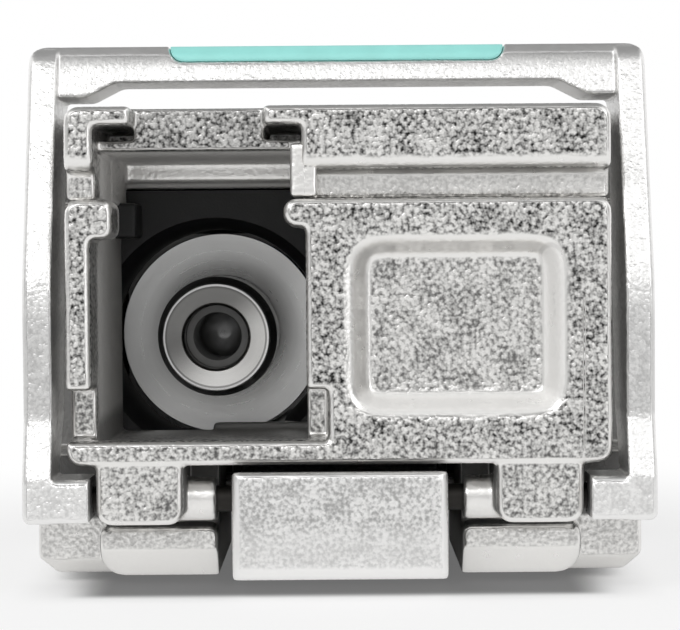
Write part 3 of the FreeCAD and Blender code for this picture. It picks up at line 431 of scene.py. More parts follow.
def cast_finish(name, base, grain, depth, contrast, roughness):
    """Nickel-plated casting: coarse bright and dark grain on flat faces, smooth bright edges, and painted
    shade in the port, in gaps and on some recessed faces.
    """
    made, finish = material(name)
    place = finish.parts(finish.position(MM))
    normal = finish.normal()
    x, y, z = place
    body = y.step(0.2, 0.6)
    over_port = x.span(-5.2, -1.0, 0.2) * z.step(8.3, 8.5) * z.step(9.6, 9.5) * y.span(-8.1, -5.4, 0.4)
    channel = x.step(-0.8, -0.7) * z.span(7.55, 8.15, 0.1) * y.span(-8.4, -8.1, 0.2)
    arms = abs(x).step(6.2, 6.3) * y.step(-4.0, -5.0) * z.step(5.2, 4.6) * z.step(2.5, 2.65)
    cover_joint = abs(x).step(6.5, 6.65) * z.span(6.57, 6.63, 0.03) * body
    lit, shaded = pocket_walls(place, normal)
    walls, gaps = sheltered(place, normal)

    # The grain: strongest on the front face, weaker further back and on the low parts
    clumps = finish.noise(grain * 6, detail=1.0)
    speck = finish.noise(grain, detail=1.0) + (clumps - 0.5) * 0.4
    grained = y.step(-1.0, -3.0).largest(body * 0.25)
    flat = finish.flatness(clumps) * (1.0 - smooth_faces(place)) * grained
    front = (y.step(-8.3, -8.9) * 0.16 + 0.84).largest(over_port)
    upper = z.step(-0.3, 0.4) * 0.4 + z.step(1.7, 2.1) * 0.13 + 0.47
    dark = speck.step(0.73, 0.23) * flat * front * upper * (1.0 - channel * 0.6) * contrast

    # The colour: a darker rear body and painted shade over the port, on the arms, in the channel and on the
    # pocket's shaded wall, then grain, then the joint of the cover, then painted shade on the port's walls
    # and in gaps
    rear_tone_and_painted_shade = (over_port * 0.35).largest(body * 0.5).largest(arms * 0.3)
    rear_tone_and_painted_shade = rear_tone_and_painted_shade.largest(channel * z.step(7.5, 8.1) * 0.4).largest(shaded * 0.3)
    tone = finish.blend(rear_tone_and_painted_shade, tuple(base), shade(base, 0.4))
    tone = finish.blend(dark, tone, shade(base, 0.02))
    tone = finish.blend(cover_joint, tone, shade(base, 0.03))
    # Painted shade on the walls of the fibre port: darker lower down than near the top
    port_wall_painted_shade = finish.blend(z.step(7.4, 6.9), shade(base, 0.95), shade(base, 0.6))
    tone = finish.blend(walls, tone, port_wall_painted_shade)
    # Painted shade in the gaps and in the low part of the port
    tone = finish.blend(gaps, tone, shade(base, 0.25))

    dull = walls.largest(gaps)
    relief = speck * (flat * 0.75 + 0.25) * (1.0 - body * 0.8)
    rough = finish.noise(grain * 3, detail=1.0) * 0.12 + (roughness - 0.06)
    finish.surface(
        Base_Color=tone,
        Metallic=1.0 - (dull * 0.8).largest(lit * 0.75),
        Roughness=rough + dark * 0.15 + dull * 0.25 + body * 0.1,
        Normal=finish.bump(relief, depth),
    )
    return made


def turned_finish(name, base, centre, roughness, shading, dark_from=None):
    """Turned metal: faint streaks round an axis along Y, painted shade on the upper left, and near a radius
    a painted highlight on the rim, a thin dark line inside it, and a painted shadow beyond.
    """
    made, finish = material(name)
    across, height, radius = finish.around(centre)
    along = finish.parts(finish.position(MM))[1]
    wobble = finish.noise(0.9 * MM)
    place = finish.node("ShaderNodeCombineXYZ", None, radius * 7.0, wobble * 1.5, along * 3.0)
    streak = finish.node("ShaderNodeTexNoise", None, Vector=place, Scale=1.0, Detail=1.0)
    cloud = finish.noise(0.5 * MM)
    tone = finish.blend(streak * 0.7 + cloud * 0.3, shade(base, 0.8), tuple(base))
    # Painted shade on the upper left of the face
    upper_left = (height * 0.8 - across * 0.6).step(-1.0, 0.6)
    tone = finish.blend(upper_left * shading, tone, shade(base, 0.15))
    if dark_from:
        polished_and_painted_highlight = (0.95, 0.95, 0.95)
        painted_shadow = (0.045, 0.043, 0.04)
        rim = radius.step(dark_from - 0.1, dark_from - 0.08)
        line = radius.step(dark_from - 0.15, dark_from - 0.13) * (1.0 - rim)
        shoulder = radius.step(dark_from - 0.01, dark_from + 0.01)
        tone = finish.blend(line * 0.6, tone, shade(base, 0.1))
        # Painted highlight along the rim
        tone = finish.blend(rim * 0.7, tone, polished_and_painted_highlight)
        # Painted shadow on the shoulder and beyond it
        tone = finish.blend(shoulder, tone, painted_shadow)
    finish.surface(Base_Color=tone, Metallic=1.0, Roughness=roughness + streak * 0.1)
    return made


def stub_finish(base, centre):
    """Polished ceramic with the dark end of the fibre in its middle."""
    made, finish = material("polished stub")
    _, _, radius = finish.around(centre)
    fibre_end = (0.01, 0.01, 0.01)
    cloud = finish.noise(0.2 * MM)
    tone = finish.blend(cloud, shade(base, 0.8), tuple(base))
    tone = finish.blend(radius.step(0.08, 0.06), tone, fibre_end)
    finish.surface(Base_Color=tone, Roughness=cloud * 0.06 + 0.08, IOR=ZIRCONIA_IOR)
    return made


def drawn_finish(name, base, stretch, roughness):
    """Drawn or rolled metal with faint lines along one direction."""
    made, finish = material(name)
    lines = finish.noise(0.06 * MM, detail=3.0, stretch=stretch)
    tone = finish.blend(lines, shade(base, 0.82), tuple(base))
    finish.surface(
        Base_Color=tone,
        Metallic=1.0,
        Roughness=roughness + lines * 0.15,
        Normal=finish.bump(lines, 0.003 * MM),
    )
    return made


def moulded_finish(name, base, grain, roughness, depth):
    """Moulded plastic, resin or ceramic with a fine skin."""
    made, finish = material(name)
    skin = finish.noise(grain)
    cloud = finish.noise(grain * 14)
    light = tuple(min(1.0, channel * 1.12 + 0.004) for channel in base)
    finish.surface(
        Base_Color=finish.blend(cloud, shade(base, 0.9), light),
        Roughness=roughness + skin * 0.1,
        Normal=finish.bump(skin, depth),
    )
    return made


# Meshes


def new_object(name, mesh):
    """Object at the origin with a mesh that holds its place."""
    made = bpy.data.objects.new(name, mesh)
    bpy.context.scene.collection.objects.link(made)
    return made


def applied(thing):
    """Plain mesh of an object with its modifiers worked in."""
    graph = bpy.context.evaluated_depsgraph_get()
    mesh = bpy.data.meshes.new_from_object(thing.evaluated_get(graph))
    thing.modifiers.clear()
    return mesh


def cad_solid(node):
    """Closed copy of a node's mesh, with its loose triangles merged."""
    solid = bmesh.new()
    solid.from_mesh(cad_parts[node].data)
    bmesh.ops.remove_doubles(solid, verts=solid.verts, dist=0.002 * MM)
    return solid


def cut_solid(solid, y, keep_front):
    """Keep one side of the plane at y, and close the cut."""
    everything = solid.verts[:] + solid.edges[:] + solid.faces[:]
    cut = bmesh.ops.bisect_plane(
        solid,
        geom=everything,
        dist=TOUCH,
        plane_co=(0, y, 0),
        plane_no=(0, 1, 0),
        clear_outer=keep_front,
        clear_inner=not keep_front,
    )
    rim = [part for part in cut["geom_cut"] if isinstance(part, bmesh.types.BMEdge)]
    bmesh.ops.triangle_fill(solid, use_beauty=True, edges=rim)
    bmesh.ops.recalc_face_normals(solid, faces=solid.faces)


def as_mesh(solid, name):
    """Mesh of a solid, which is freed."""
    mesh = bpy.data.meshes.new(name)
    solid.to_mesh(mesh)
    solid.free()
    return mesh


def within(place, low, high):
    """True where a point lies in a box."""
    return all(low[axis] <= place[axis] <= high[axis] for axis in range(3))


def smoothing(thing, name, passes):
    """New modifier that smooths an object's mesh."""
    soften = thing.modifiers.new(name, "SMOOTH")
    soften.factor = 0.5
    soften.iterations = passes
    return soften


def rounded(solid, name, triangles, passes, softer=None):
    """Casting with rounded edges: fine cells, smoothed, more so in a box, and thinned out on the flats."""
    bmesh.ops.scale(solid, vec=(1 / MM, 1 / MM, 1 / MM), verts=solid.verts)
    work = new_object(name + "_work", as_mesh(solid, name))
    cells = work.modifiers.new("cells", "REMESH")
    cells.mode = "VOXEL"
    cells.voxel_size = castings().voxel / MM
    work.data = applied(work)
    smoothing(work, "soften", passes)
    if softer:
        group = work.vertex_groups.new(name="softer")
        places = [vertex.co * MM for vertex in work.data.vertices]
        chosen = [index for index, place in enumerate(places) if within(place, *softer)]
        group.add(chosen, 1.0, "REPLACE")
        smoothing(work, "soften more", castings().pocket_soften).vertex_group = group.name
    work.data = applied(work)
    thin = work.modifiers.new("thin", "DECIMATE")
    thin.ratio = min(1.0, triangles / (2.0 * len(work.data.polygons)))
    made = applied(work)
    bpy.data.objects.remove(work)
    made.transform(Matrix.Scale(MM, 4))
    made.shade_smooth()
    return made


def box_solid(low, high):
    """Block between two corners."""
    solid = bmesh.new()
    bmesh.ops.create_cube(solid, size=1.0)
    low, high = Vector(low), Vector(high)
    bmesh.ops.scale(solid, vec=high - low, verts=solid.verts)
    bmesh.ops.translate(solid, vec=(low + high) / 2, verts=solid.verts)
    return solid


def carved(solid, cutters):
    """Solid with some meshes cut out of it, worked in millimetres."""
    grow = Matrix.Scale(1 / MM, 4)
    body = as_mesh(solid, "carved")
    body.transform(grow)
    work = new_object("carved_work", body)
    tools = []
    for cutter in cutters:
        cutter.transform(grow)
        tools.append(new_object("cutter", cutter))
        cut = work.modifiers.new("cut", "BOOLEAN")
        cut.operation = "DIFFERENCE"
        cut.solver = "EXACT"
        cut.object = tools[-1]
    result = applied(work)
    for thing in [work] + tools:
        bpy.data.objects.remove(thing)
    result.transform(Matrix.Scale(MM, 4))
    made = bmesh.new()
    made.from_mesh(result)
    return made


def mould_line(face):
    """Fine half-round ridge up the face, left by a joint in the mould, with thinner ends."""
    x = 5.46 * MM
    low_z, high_z = 1.75 * MM, 5.17 * MM
    width, height = 0.07 * MM, 0.03 * MM
    thin_end = 0.3
    sides = 8
    solid = bmesh.new()
    rims = []
    for z in (low_z, low_z + width, high_z - width, high_z):
        swell = 1.0 if low_z < z < high_z else thin_end
        rim = []
        for step in range(sides + 1):
            turn = math.pi * step / sides
            out = (math.cos(turn) * width / 2 * swell, math.sin(turn) * height * swell)
            rim.append(solid.verts.new((x + out[0], face - out[1], z)))
        rims.append(rim)
    for low_rim, high_rim in zip(rims, rims[1:]):
        for step in range(sides + 1):
            after = (step + 1) % (sides + 1)
            solid.faces.new((low_rim[step], low_rim[after], high_rim[after], high_rim[step]))
    solid.faces.new(rims[0])
    solid.faces.new(rims[-1])
    bmesh.ops.recalc_face_normals(solid, faces=solid.faces)
    return creased(solid, "mould_line", 2 * CREASE)


def joined(name, meshes):
    """One mesh from several."""
    whole = bmesh.new()
    for mesh in meshes:
        whole.from_mesh(mesh)
    return as_mesh(whole, name)


def creased(solid, name, sharp_from=CREASE):
    """Mesh with smooth curved faces and sharp edges beyond an angle."""
    for face in solid.faces:
        face.smooth = True
    for edge in solid.edges:
        edge.smooth = len(edge.link_faces) == 2 and edge.calc_face_angle() < sharp_from
    return as_mesh(solid, name)


def turned(name, profile, centre, sides=128):
    """Closed ring turned about an axis along Y, from (y, radius) corners in metres."""
    solid = bmesh.new()
    rings = []
    for step in range(sides):
        turn = math.tau * step / sides
        ring = []
        for y, radius in profile:
            place = (centre[0] + radius * math.cos(turn), y, centre[1] + radius * math.sin(turn))
            ring.append(solid.verts.new(place))
        rings.append(ring)
    count = len(profile)
    for step in range(sides):
        here, following = rings[step], rings[(step + 1) % sides]
        for index in range(count):
            after = (index + 1) % count
            solid.faces.new((here[index], here[after], following[after], following[index]))
    bmesh.ops.remove_doubles(solid, verts=solid.verts, dist=TOUCH)
    bmesh.ops.recalc_face_normals(solid, faces=solid.faces)
    return creased(solid, name)


def finish_piece(name, mesh, finish, body, slot, *nodes):
    """Object that wears a finish, rides on a body and stands for some nodes."""
    piece = new_object(name, mesh)
    mesh.materials.clear()
    mesh.materials.append(finish)
    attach(piece, body)
    if nodes:
        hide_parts(*nodes)


def dress(finish, *nodes):
    """Give nodes that stay their finish."""
    for node in nodes:
        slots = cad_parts[node].material_slots
        for slot in slots:
            slot.material = finish
        if not slots:
            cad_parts[node].data.materials.append(finish)


# Pieces


class TRANSCEIVER_OT_housing(bpy.types.Operator):
    """Die-cast housing and cover, rounded in front of the collar and crisp behind it"""

    bl_idname = "transceiver.housing"
    bl_label = "Housing and cover"

    def execute(self, context):
        setting = castings()
        nickel, grain = colours().nickel, setting.grain
        skin = cast_finish("plated casting", nickel, grain, depth=0.03 * MM, contrast=1.0, roughness=0.3)
        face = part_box("base_shell")[0].y
        parts = split_casting("base_shell", "housing_casting", triangles=170000, softer=pocket_box(face))
        parts.append(mould_line(face))
        housing = joined("housing_casting", parts)
        finish_piece("housing_casting", housing, skin, "module", "plated_casting", "base_shell")
        parts = split_casting("top_cover", "cover_casting", triangles=100000, cutters=latch_pockets())
        parts.append(rounded(guide_post(face), "guide_post", triangles=4000, passes=setting.soften))
        cover = joined("cover_casting", parts)
        finish_piece("cover_casting", cover, skin, "module", "plated_casting", "top_cover")
        return {"FINISHED"}


def pocket_box(face):
    """Two corners of a box round the pocket in the face."""
    left, right = 0.1 * MM, 5.2 * MM
    front, back = face - 1.0 * MM, face + 1.2 * MM
    bottom, top = 2.2 * MM, 6.9 * MM
    return (left, front, bottom), (right, back, top)


def guide_post(face):
    """Smooth post at the port's right edge, its front leaning back a little at the top."""
    left, right = -1.06 * MM, -0.45 * MM
    front, back = face + 0.1 * MM, face + 1.2 * MM
    bottom, top = 7.46 * MM, 8.66 * MM
    lean = 0.1 * MM
    solid = box_solid((left, front, bottom), (right, back, top))
    for vertex in solid.verts:
        if vertex.co.y < (front + back) / 2 and vertex.co.z > (bottom + top) / 2:
            vertex.co.y += lean
    return solid


def latch_pockets():
    """Two pockets beside the bar over the port, where the shoulders of the plug's latch go in."""
    low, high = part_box("ferrule_barrel")
    middle = (low.x + high.x) / 2
    near, far = 1.48 * MM, 2.325 * MM
    front, back = -7.9 * MM, -5.0 * MM
    floor, roof = 8.78 * MM, 9.08 * MM
    return [
        as_mesh(box_solid((middle - far, front, floor), (middle - near, back, roof)), "left_pocket"),
        as_mesh(box_solid((middle + near, front, floor), (middle + far, back, roof)), "right_pocket"),
    ]


def split_casting(node, name, triangles, softer=None, cutters=()):
    """Two meshes of a casting: its rounded front, and its crisp rear behind the seam."""
    setting = castings()
    front = cad_solid(node)
    cut_solid(front, setting.seam, True)
    if cutters:
        front = carved(front, cutters)
    rear = cad_solid(node)
    cut_solid(rear, setting.seam, False)
    return [
        rounded(front, name + "_front", triangles, setting.soften, softer),
        creased(rear, name + "_rear"),
    ]


class TRANSCEIVER_OT_latch(bpy.types.Operator):
    """Bail with its colour tab and axle, and the latch lever"""

    bl_idname = "transceiver.latch"
    bl_label = "Bail and lever"

    def execute(self, context):
        setting = castings()
        tint = colours()
        nickel, grain = tint.bail_nickel, setting.fine_grain
        skin = cast_finish("bail casting", nickel, grain, depth=0.03 * MM, contrast=0.3, roughness=0.36)
        bail = rounded(cad_solid("bail"), "bail_casting", triangles=150000, passes=setting.bail_soften)
        finish_piece("bail_casting", bail, skin, "bail", "bail_casting", "bail")
        skin = cast_finish("lever casting", nickel, grain, depth=0.02 * MM, contrast=0.65, roughness=0.36)
        lever = rounded(cad_solid("latch_rocker"), "lever_casting", triangles=60000, passes=setting.soften)
        finish_piece("lever_casting", lever, skin, "lever", "bail_casting", "latch_rocker")
        enamel = moulded_finish(
            "colour tab", tint.turquoise, grain=0.05 * MM, roughness=0.32, depth=0.002 * MM
        )
        tab = rounded(cad_solid("bail_tab"), "colour_tab", triangles=20000, passes=setting.bail_soften)
        finish_piece("colour_tab", tab, enamel, "bail", "colour_tab", "bail_tab")
        along_x = (0.05, 1.0, 1.0)
        steel = drawn_finish("ground pin", tint.pin, stretch=along_x, roughness=0.2)
        dress(steel, "release_cam", "rocker_pin", "cover_screws")
        # The axle's dark colour is painted shade in the gaps beside the lever
        painted_shadow = drawn_finish("oiled axle", tint.axle, stretch=along_x, roughness=0.4)
        dress(painted_shadow, "bail_axle")
        return {"FINISHED"}


class TRANSCEIVER_OT_optics(bpy.types.Operator):
    """Ring, barrel, sleeve and stub in the port, and the block behind them"""

    bl_idname = "transceiver.optics"
    bl_label = "Optics"

    def execute(self, context):
        tint = colours()
        low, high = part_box("ferrule_barrel")
        centre = ((low.x + high.x) / 2, (low.z + high.z) / 2)
        dull = turned_finish("flange ring", tint.ring, centre, roughness=0.24, shading=0.4)
        bright = turned_finish(
            "turned barrel", tint.barrel, centre, roughness=0.2, shading=0.9, dark_from=1.39
        )
        ring = turned("flange_ring", ring_profile(), centre)
        finish_piece("flange_ring", ring, dull, "module", "turned_steel", "bosa_flange")
        barrel = turned("barrel", barrel_profile(), centre)
        finish_piece("barrel", barrel, bright, "module", "turned_steel", "ferrule_barrel")
        dress(dull, "bosa_body")
        # The sleeve's dark colour is painted shade inside the bore
        ceramic = moulded_finish(
            "zirconia", tint.ceramic, grain=0.02 * MM, roughness=0.12, depth=0.0005 * MM
        )
        dress(ceramic, "zirconia_sleeve")
        stub = turned("domed_stub", stub_profile(), centre, sides=64)
        # The stub's dark colour is painted shade inside the bore as well
        polish = stub_finish(tint.ceramic, centre)
        finish_piece("domed_stub", stub, polish, "module", "zirconia", "fibre_stub")
        black = moulded_finish(
            "black moulding", tint.moulding, grain=0.06 * MM, roughness=0.45, depth=0.006 * MM
        )
        body = carved(cad_solid("lc_receptacle"), [well_mouth(centre)])
        nub = rounded(block_nub(), "block_nub", triangles=4000, passes=castings().soften)
        block = joined("port_block", [creased(body, "block_body"), nub])
        finish_piece("port_block", block, black, "module", "black_moulding", "lc_receptacle")
        return {"FINISHED"}


def block_nub():
    """Small nub at the upper left of the block in the port."""
    left, right = -5.8 * MM, -5.0 * MM
    front, back = -2.0 * MM, 0.1 * MM
    bottom, top = 6.62 * MM, 7.5 * MM
    return box_solid((left, front, bottom), (right, back, top))


def round_corner(before, corner, after, radius, steps=5):
    """Points of a small round between two straight edges of a profile."""
    corner = Vector(corner)
    back = (Vector(before) - corner).normalized() * radius
    forward = (Vector(after) - corner).normalized() * radius
    points = []
    for step in range(steps + 1):
        share = step / steps
        points.append(corner + back * (1 - share) ** 2 + forward * share ** 2)
    return points


def softened(profile, radius):
    """Profile with every corner rounded a little, and a short flat beside each round to keep faces even."""
    points = []
    count = len(profile)
    flat = 1.3
    for index, corner in enumerate(profile):
        before = profile[index - 1]
        after = profile[(index + 1) % count]
        wide = round_corner(before, corner, after, radius * flat, steps=1)
        points += [wide[0], *round_corner(before, corner, after, radius), wide[-1]]
    return points


def ring_profile():
    """Slightly dished ring round the barrel."""
    low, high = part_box("bosa_flange")
    outer = (high.x - low.x) / 2
    mouth = 1.42 * MM
    dish = 0.09 * MM
    profile = [(low.y + dish, mouth), (low.y, outer), (high.y, outer), (high.y, mouth)]
    return softened(profile, 0.03 * MM)


def barrel_profile():
    """Barrel with a slightly dished face, a chamfered mouth and a shoulder outside."""
    low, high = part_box("ferrule_barrel")
    front, rear = low.y, high.y
    outer = (high.x - low.x) / 2
    bore = 0.81 * MM
    shoulder = 1.54 * MM
    shoulder_start = front + 0.9 * MM
    shoulder_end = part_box("bosa_flange")[0].y - 0.1 * MM
    rim, edge = 0.09 * MM, 0.02 * MM
    dish = 0.06 * MM
    chamfer, chamfer_depth = 0.06 * MM, 0.1 * MM
    profile = [
        (front, outer - rim),
        (front, outer - edge),
        (shoulder_start, shoulder),
        (shoulder_end, shoulder),
        (shoulder_end, outer),
        (rear, outer),
        (rear, bore),
        (front + dish + chamfer_depth, bore),
        (front + dish, bore + chamfer),
    ]
    return softened(profile, 0.02 * MM)


def stub_profile():
    """Stub with a polished dome at its front."""
    low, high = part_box("fibre_stub")
    outer = (high.x - low.x) / 2
    dome = 0.12 * MM
    steps = 8
    shares = [step / steps for step in range(steps + 1)]
    front = [(low.y + dome * share ** 2, outer * share) for share in shares]
    return front + [(high.y, outer), (high.y, 0.0)]


def well_mouth(centre):
    """Cone that widens the front of the round well in the block."""
    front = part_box("lc_receptacle")[0].y
    start, end = front - 0.2 * MM, front + 0.6 * MM
    wide, narrow = 3.15 * MM, 2.75 * MM
    return turned("well_mouth", [(start, 0.0), (start, wide), (end, narrow), (end, 0.0)], centre)


def finger_tree():
    """Row of spring fingers: the mesh it is given is the line of one finger, seen from the side."""
    tree = Pattern("spring finger row")
    line = Field(tree, tree.inputs.outputs["Geometry"])
    width = tree.size("Width")
    thickness = tree.size("Thickness")
    bend = tree.size("Bend")
    path = tree.node("GeometryNodeMeshToCurve", None, line)
    path = tree.node(
        "GeometryNodeFilletCurve", {"mode": "POLY"}, Curve=path, Count=6, Radius=bend, Limit_Radius=True
    )
    path = tree.node("GeometryNodeSetCurveNormal", {"mode": "Z_UP"}, Curve=path)
    section = tree.node("GeometryNodeCurvePrimitiveQuadrilateral", {"mode": "RECTANGLE"}, width, thickness)
    strip = tree.node("GeometryNodeCurveToMesh", None, Curve=path, Profile_Curve=section, Fill_Caps=True)
    tree.repeat(strip)
    return tree


def plate_tree():
    """Row of flat blocks with rounded corners, such as contact pads or chip parts."""
    tree = Pattern("rounded block row")
    width = tree.size("Width")
    depth = tree.size("Depth")
    corner = tree.size("Corner")
    height = tree.size("Height")
    outline = tree.node("GeometryNodeCurvePrimitiveQuadrilateral", {"mode": "RECTANGLE"}, width, depth)
    outline = tree.node("GeometryNodeFilletCurve", {"mode": "POLY"}, Curve=outline, Count=4, Radius=corner)
    face = tree.node("GeometryNodeFillCurve", {"mode": "NGONS"}, Curve=outline)
    sides = tree.node("GeometryNodeExtrudeMesh", {"mode": "FACES"}, Mesh=face, Offset_Scale=height)
    under = tree.node("GeometryNodeFlipFaces", None, face)
    both = tree.node("GeometryNodeJoinGeometry", None, sides)
    tree.put(both.socket.node.inputs[0], under)
    tree.repeat(tree.node("GeometryNodeMergeByDistance", None, both, Distance=TOUCH))
    return tree


def finger_line():
    """Line of one spring finger from the band to its free end, along the middle of the sheet."""
    setting = collar()
    start = setting.band_end
    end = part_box("emi_collar")[1].y
    crest_front = (start + end - setting.crest) / 2
    half = setting.thickness / 2
    corners = (
        (start - half, -half),
        (crest_front, setting.rise - half),
        (crest_front + setting.crest, setting.rise - half),
        (end - half, setting.end_rise - half),
    )
    solid = bmesh.new()
    verts = [solid.verts.new((0, y, z)) for y, z in corners]
    for first, second in zip(verts, verts[1:]):
        solid.edges.new((first, second))
    return as_mesh(solid, "finger_line")


def finger_rows(finish):
    """Rows of fingers on the top, the sides and the underside of the body."""
    setting = collar()
    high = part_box("emi_collar")[1]
    half = high.x - setting.rise
    top = high.z - setting.rise
    pitch = setting.finger_width + setting.finger_gap
    side_middle = 4.6 * MM
    low_middle = 4.4 * MM

    # Count, turn about the module's length, and place of each row
    rows = (
        (7, 0, (0, 0, top)),
        (4, math.pi / 2, (half, 0, side_middle)),
        (4, -math.pi / 2, (-half, 0, side_middle)),
        (1, math.pi, (low_middle, 0, 0)),
        (1, math.pi, (-low_middle, 0, 0)),
    )
    tree = finger_tree()
    return [
        tree.made(
            finger_line(),
            Width=setting.finger_width,
            Thickness=setting.thickness,
            Bend=setting.bend,
            Count=count,
            Start=(-(count - 1) / 2 * pitch, 0, 0),
            Step=(pitch, 0, 0),
            Turn=(0, turn, 0),
            Place=place,
            Finish=finish,
        )
        for count, turn, place in rows
    ]


def leaf_spring(finish):
    """Leaf spring of the latch, cut into thin slices along its length."""
    low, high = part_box("latch_spring")
    solid = cad_solid("latch_spring")
    parts = 20
    for part in range(1, parts):
        y = low.y + (high.y - low.y) * part / parts
        everything = solid.verts[:] + solid.edges[:] + solid.faces[:]
        bmesh.ops.bisect_plane(solid, geom=everything, dist=TOUCH, plane_co=(0, y, 0), plane_no=(0, 1, 0))
    bmesh.ops.recalc_face_normals(solid, faces=solid.faces)
    piece = new_object("leaf_spring", creased(solid, "leaf_spring"))
    piece.data.materials.append(finish)
    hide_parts("latch_spring")
    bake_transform(piece)


def block_rows(tree, size, corner, count, step, starts, finish):
    """Rows of rounded blocks of one size, one row from each start."""
    return [
        tree.made(
            bpy.data.meshes.new("row"),
            Width=size[0],
            Depth=size[1],
            Height=size[2],
            Corner=corner,
            Count=count,
            Start=start,
            Step=step,
            Turn=(0, 0, 0),
            Place=(0, 0, 0),
            Finish=finish,
        )
        for start in starts
    ]


def contact_rows(tree, finish):
    """Contact pads on both faces of the tongue."""
    low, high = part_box("edge_contacts")
    count = 10
    width = 0.55 * MM
    thickness = 0.05 * MM
    corner = 0.12 * MM
    pad = (width, high.y - low.y, thickness)
    pitch = (high.x - low.x - width) / (count - 1)
    middle = (low.y + high.y) / 2
    starts = [(low.x + width / 2, middle, z) for z in (low.z, high.z - thickness)]
    return block_rows(tree, pad, corner, count, (pitch, 0, 0), starts, finish)


def chip_rows(tree, node, count, width, finish, cap_finish):
    """Bodies and soldered end caps of the small chip parts of one node."""
    low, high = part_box(node)
    chip_length = 1.0 * MM
    cap = 0.24 * MM
    cap_skin = 0.012 * MM
    body_corner, cap_corner = 0.03 * MM, 0.06 * MM
    height = high.z - low.z
    step = (0, (high.y - low.y - width) / (count - 1), 0)
    first = low.y + width / 2
    body_starts = [(x, first, low.z) for x in (low.x + chip_length / 2, high.x - chip_length / 2)]
    cap_starts = []
    for x, y, z in body_starts:
        for side in (-1, 1):
            cap_starts.append((x + side * (chip_length - cap) / 2, y, z))
    body = (chip_length - 2 * cap_skin, width - 2 * cap_skin, height - cap_skin)
    bodies = block_rows(tree, body, body_corner, count, step, body_starts, finish)
    caps = block_rows(tree, (cap, width, height), cap_corner, count, step, cap_starts, cap_finish)
    return bodies, caps


class TRANSCEIVER_OT_springs(bpy.types.Operator):
    """Leaf spring of the latch, and the spring-finger collar"""

    bl_idname = "transceiver.springs"
    bl_label = "Springs"

    def execute(self, context):
        sheet = drawn_finish("spring sheet", colours().sheet, stretch=(1.0, 0.05, 1.0), roughness=0.22)
        leaf_spring(sheet)
        band = cad_solid("emi_collar")
        cut_solid(band, collar().band_end, True)
        shield = joined("spring_collar", [creased(band, "band")] + finger_rows(sheet))
        shield.set_sharp_from_angle(angle=CREASE)
        finish_piece("spring_collar", shield, sheet, "module", "spring_sheet", "emi_collar")
        return {"FINISHED"}


class TRANSCEIVER_OT_electronics(bpy.types.Operator):
    """Board, chips, contacts, flexible circuits, cans and pads"""

    bl_idname = "transceiver.electronics"
    bl_label = "Electronics"

    def execute(self, context):
        tint = colours()
        can = drawn_finish("can metal", tint.steel, stretch=(1.0, 1.0, 0.2), roughness=0.25)
        dress(can, "laser_can", "detector_can")
        film = moulded_finish("flex film", tint.film, grain=0.1 * MM, roughness=0.3, depth=0.002 * MM)
        dress(film, "laser_flex", "detector_flex")
        laminate = moulded_finish(
            "board laminate", tint.laminate, grain=0.08 * MM, roughness=0.4, depth=0.004 * MM
        )
        dress(laminate, "circuit_board")
        resin = moulded_finish("chip resin", tint.resin, grain=0.04 * MM, roughness=0.5, depth=0.004 * MM)
        dress(resin, "driver_chip", "controller_chip", "amplifier_chip")
        soft = moulded_finish("soft pad", tint.pad, grain=0.07 * MM, roughness=0.7, depth=0.01 * MM)
        dress(soft, "bosa_pad", "thermal_pad")
        gold = drawn_finish("gold plating", tint.gold, stretch=(1.0, 0.1, 1.0), roughness=0.18)
        tree = plate_tree()
        pads = joined("contact_pads", contact_rows(tree, gold))
        finish_piece("contact_pads", pads, gold, "module", "gold_plating", "edge_contacts")
        tin = drawn_finish("tinned ends", tint.sheet, stretch=(1.0, 1.0, 1.0), roughness=0.3)
        chip_parts(tree, "chip_capacitors", "capacitor", tint.chip, tin, count=8, width=0.55 * MM)
        chip_parts(tree, "chip_resistors", "resistor", tint.resin, tin, count=4, width=0.5 * MM)
        return {"FINISHED"}


def chip_parts(tree, node, name, base, tin, count, width):
    """Pieces of one kind of small chip parts: their bodies, and their tinned ends."""
    ceramic = moulded_finish(name + " body", base, grain=0.05 * MM, roughness=0.5, depth=0.003 * MM)
    bodies, ends = chip_rows(tree, node, count, width, ceramic, tin)
    bodies = joined(name + "_bodies", bodies)
    finish_piece(name + "_bodies", bodies, ceramic, "module", "chip_ceramic", node)
    ends = joined(name + "_ends", ends)
    finish_piece(name + "_ends", ends, tin, "module", "chip_ceramic")


# Stage


def soft_box(name, place, target, size, radiance):
    """Rectangular soft box that faces a point, with its radiance given rather than its power."""
    light = bpy.data.lights.new(name, "AREA")
    light.shape = "RECTANGLE"
    light.size, light.size_y = size
    light.energy = radiance * math.pi * size[0] * size[1]
    made = bpy.data.objects.new(name, light)
    bpy.context.scene.collection.objects.link(made)
    made.location = place
    made.rotation_euler = (Vector(target) - Vector(place)).to_track_quat("-Z", "Y").to_euler()


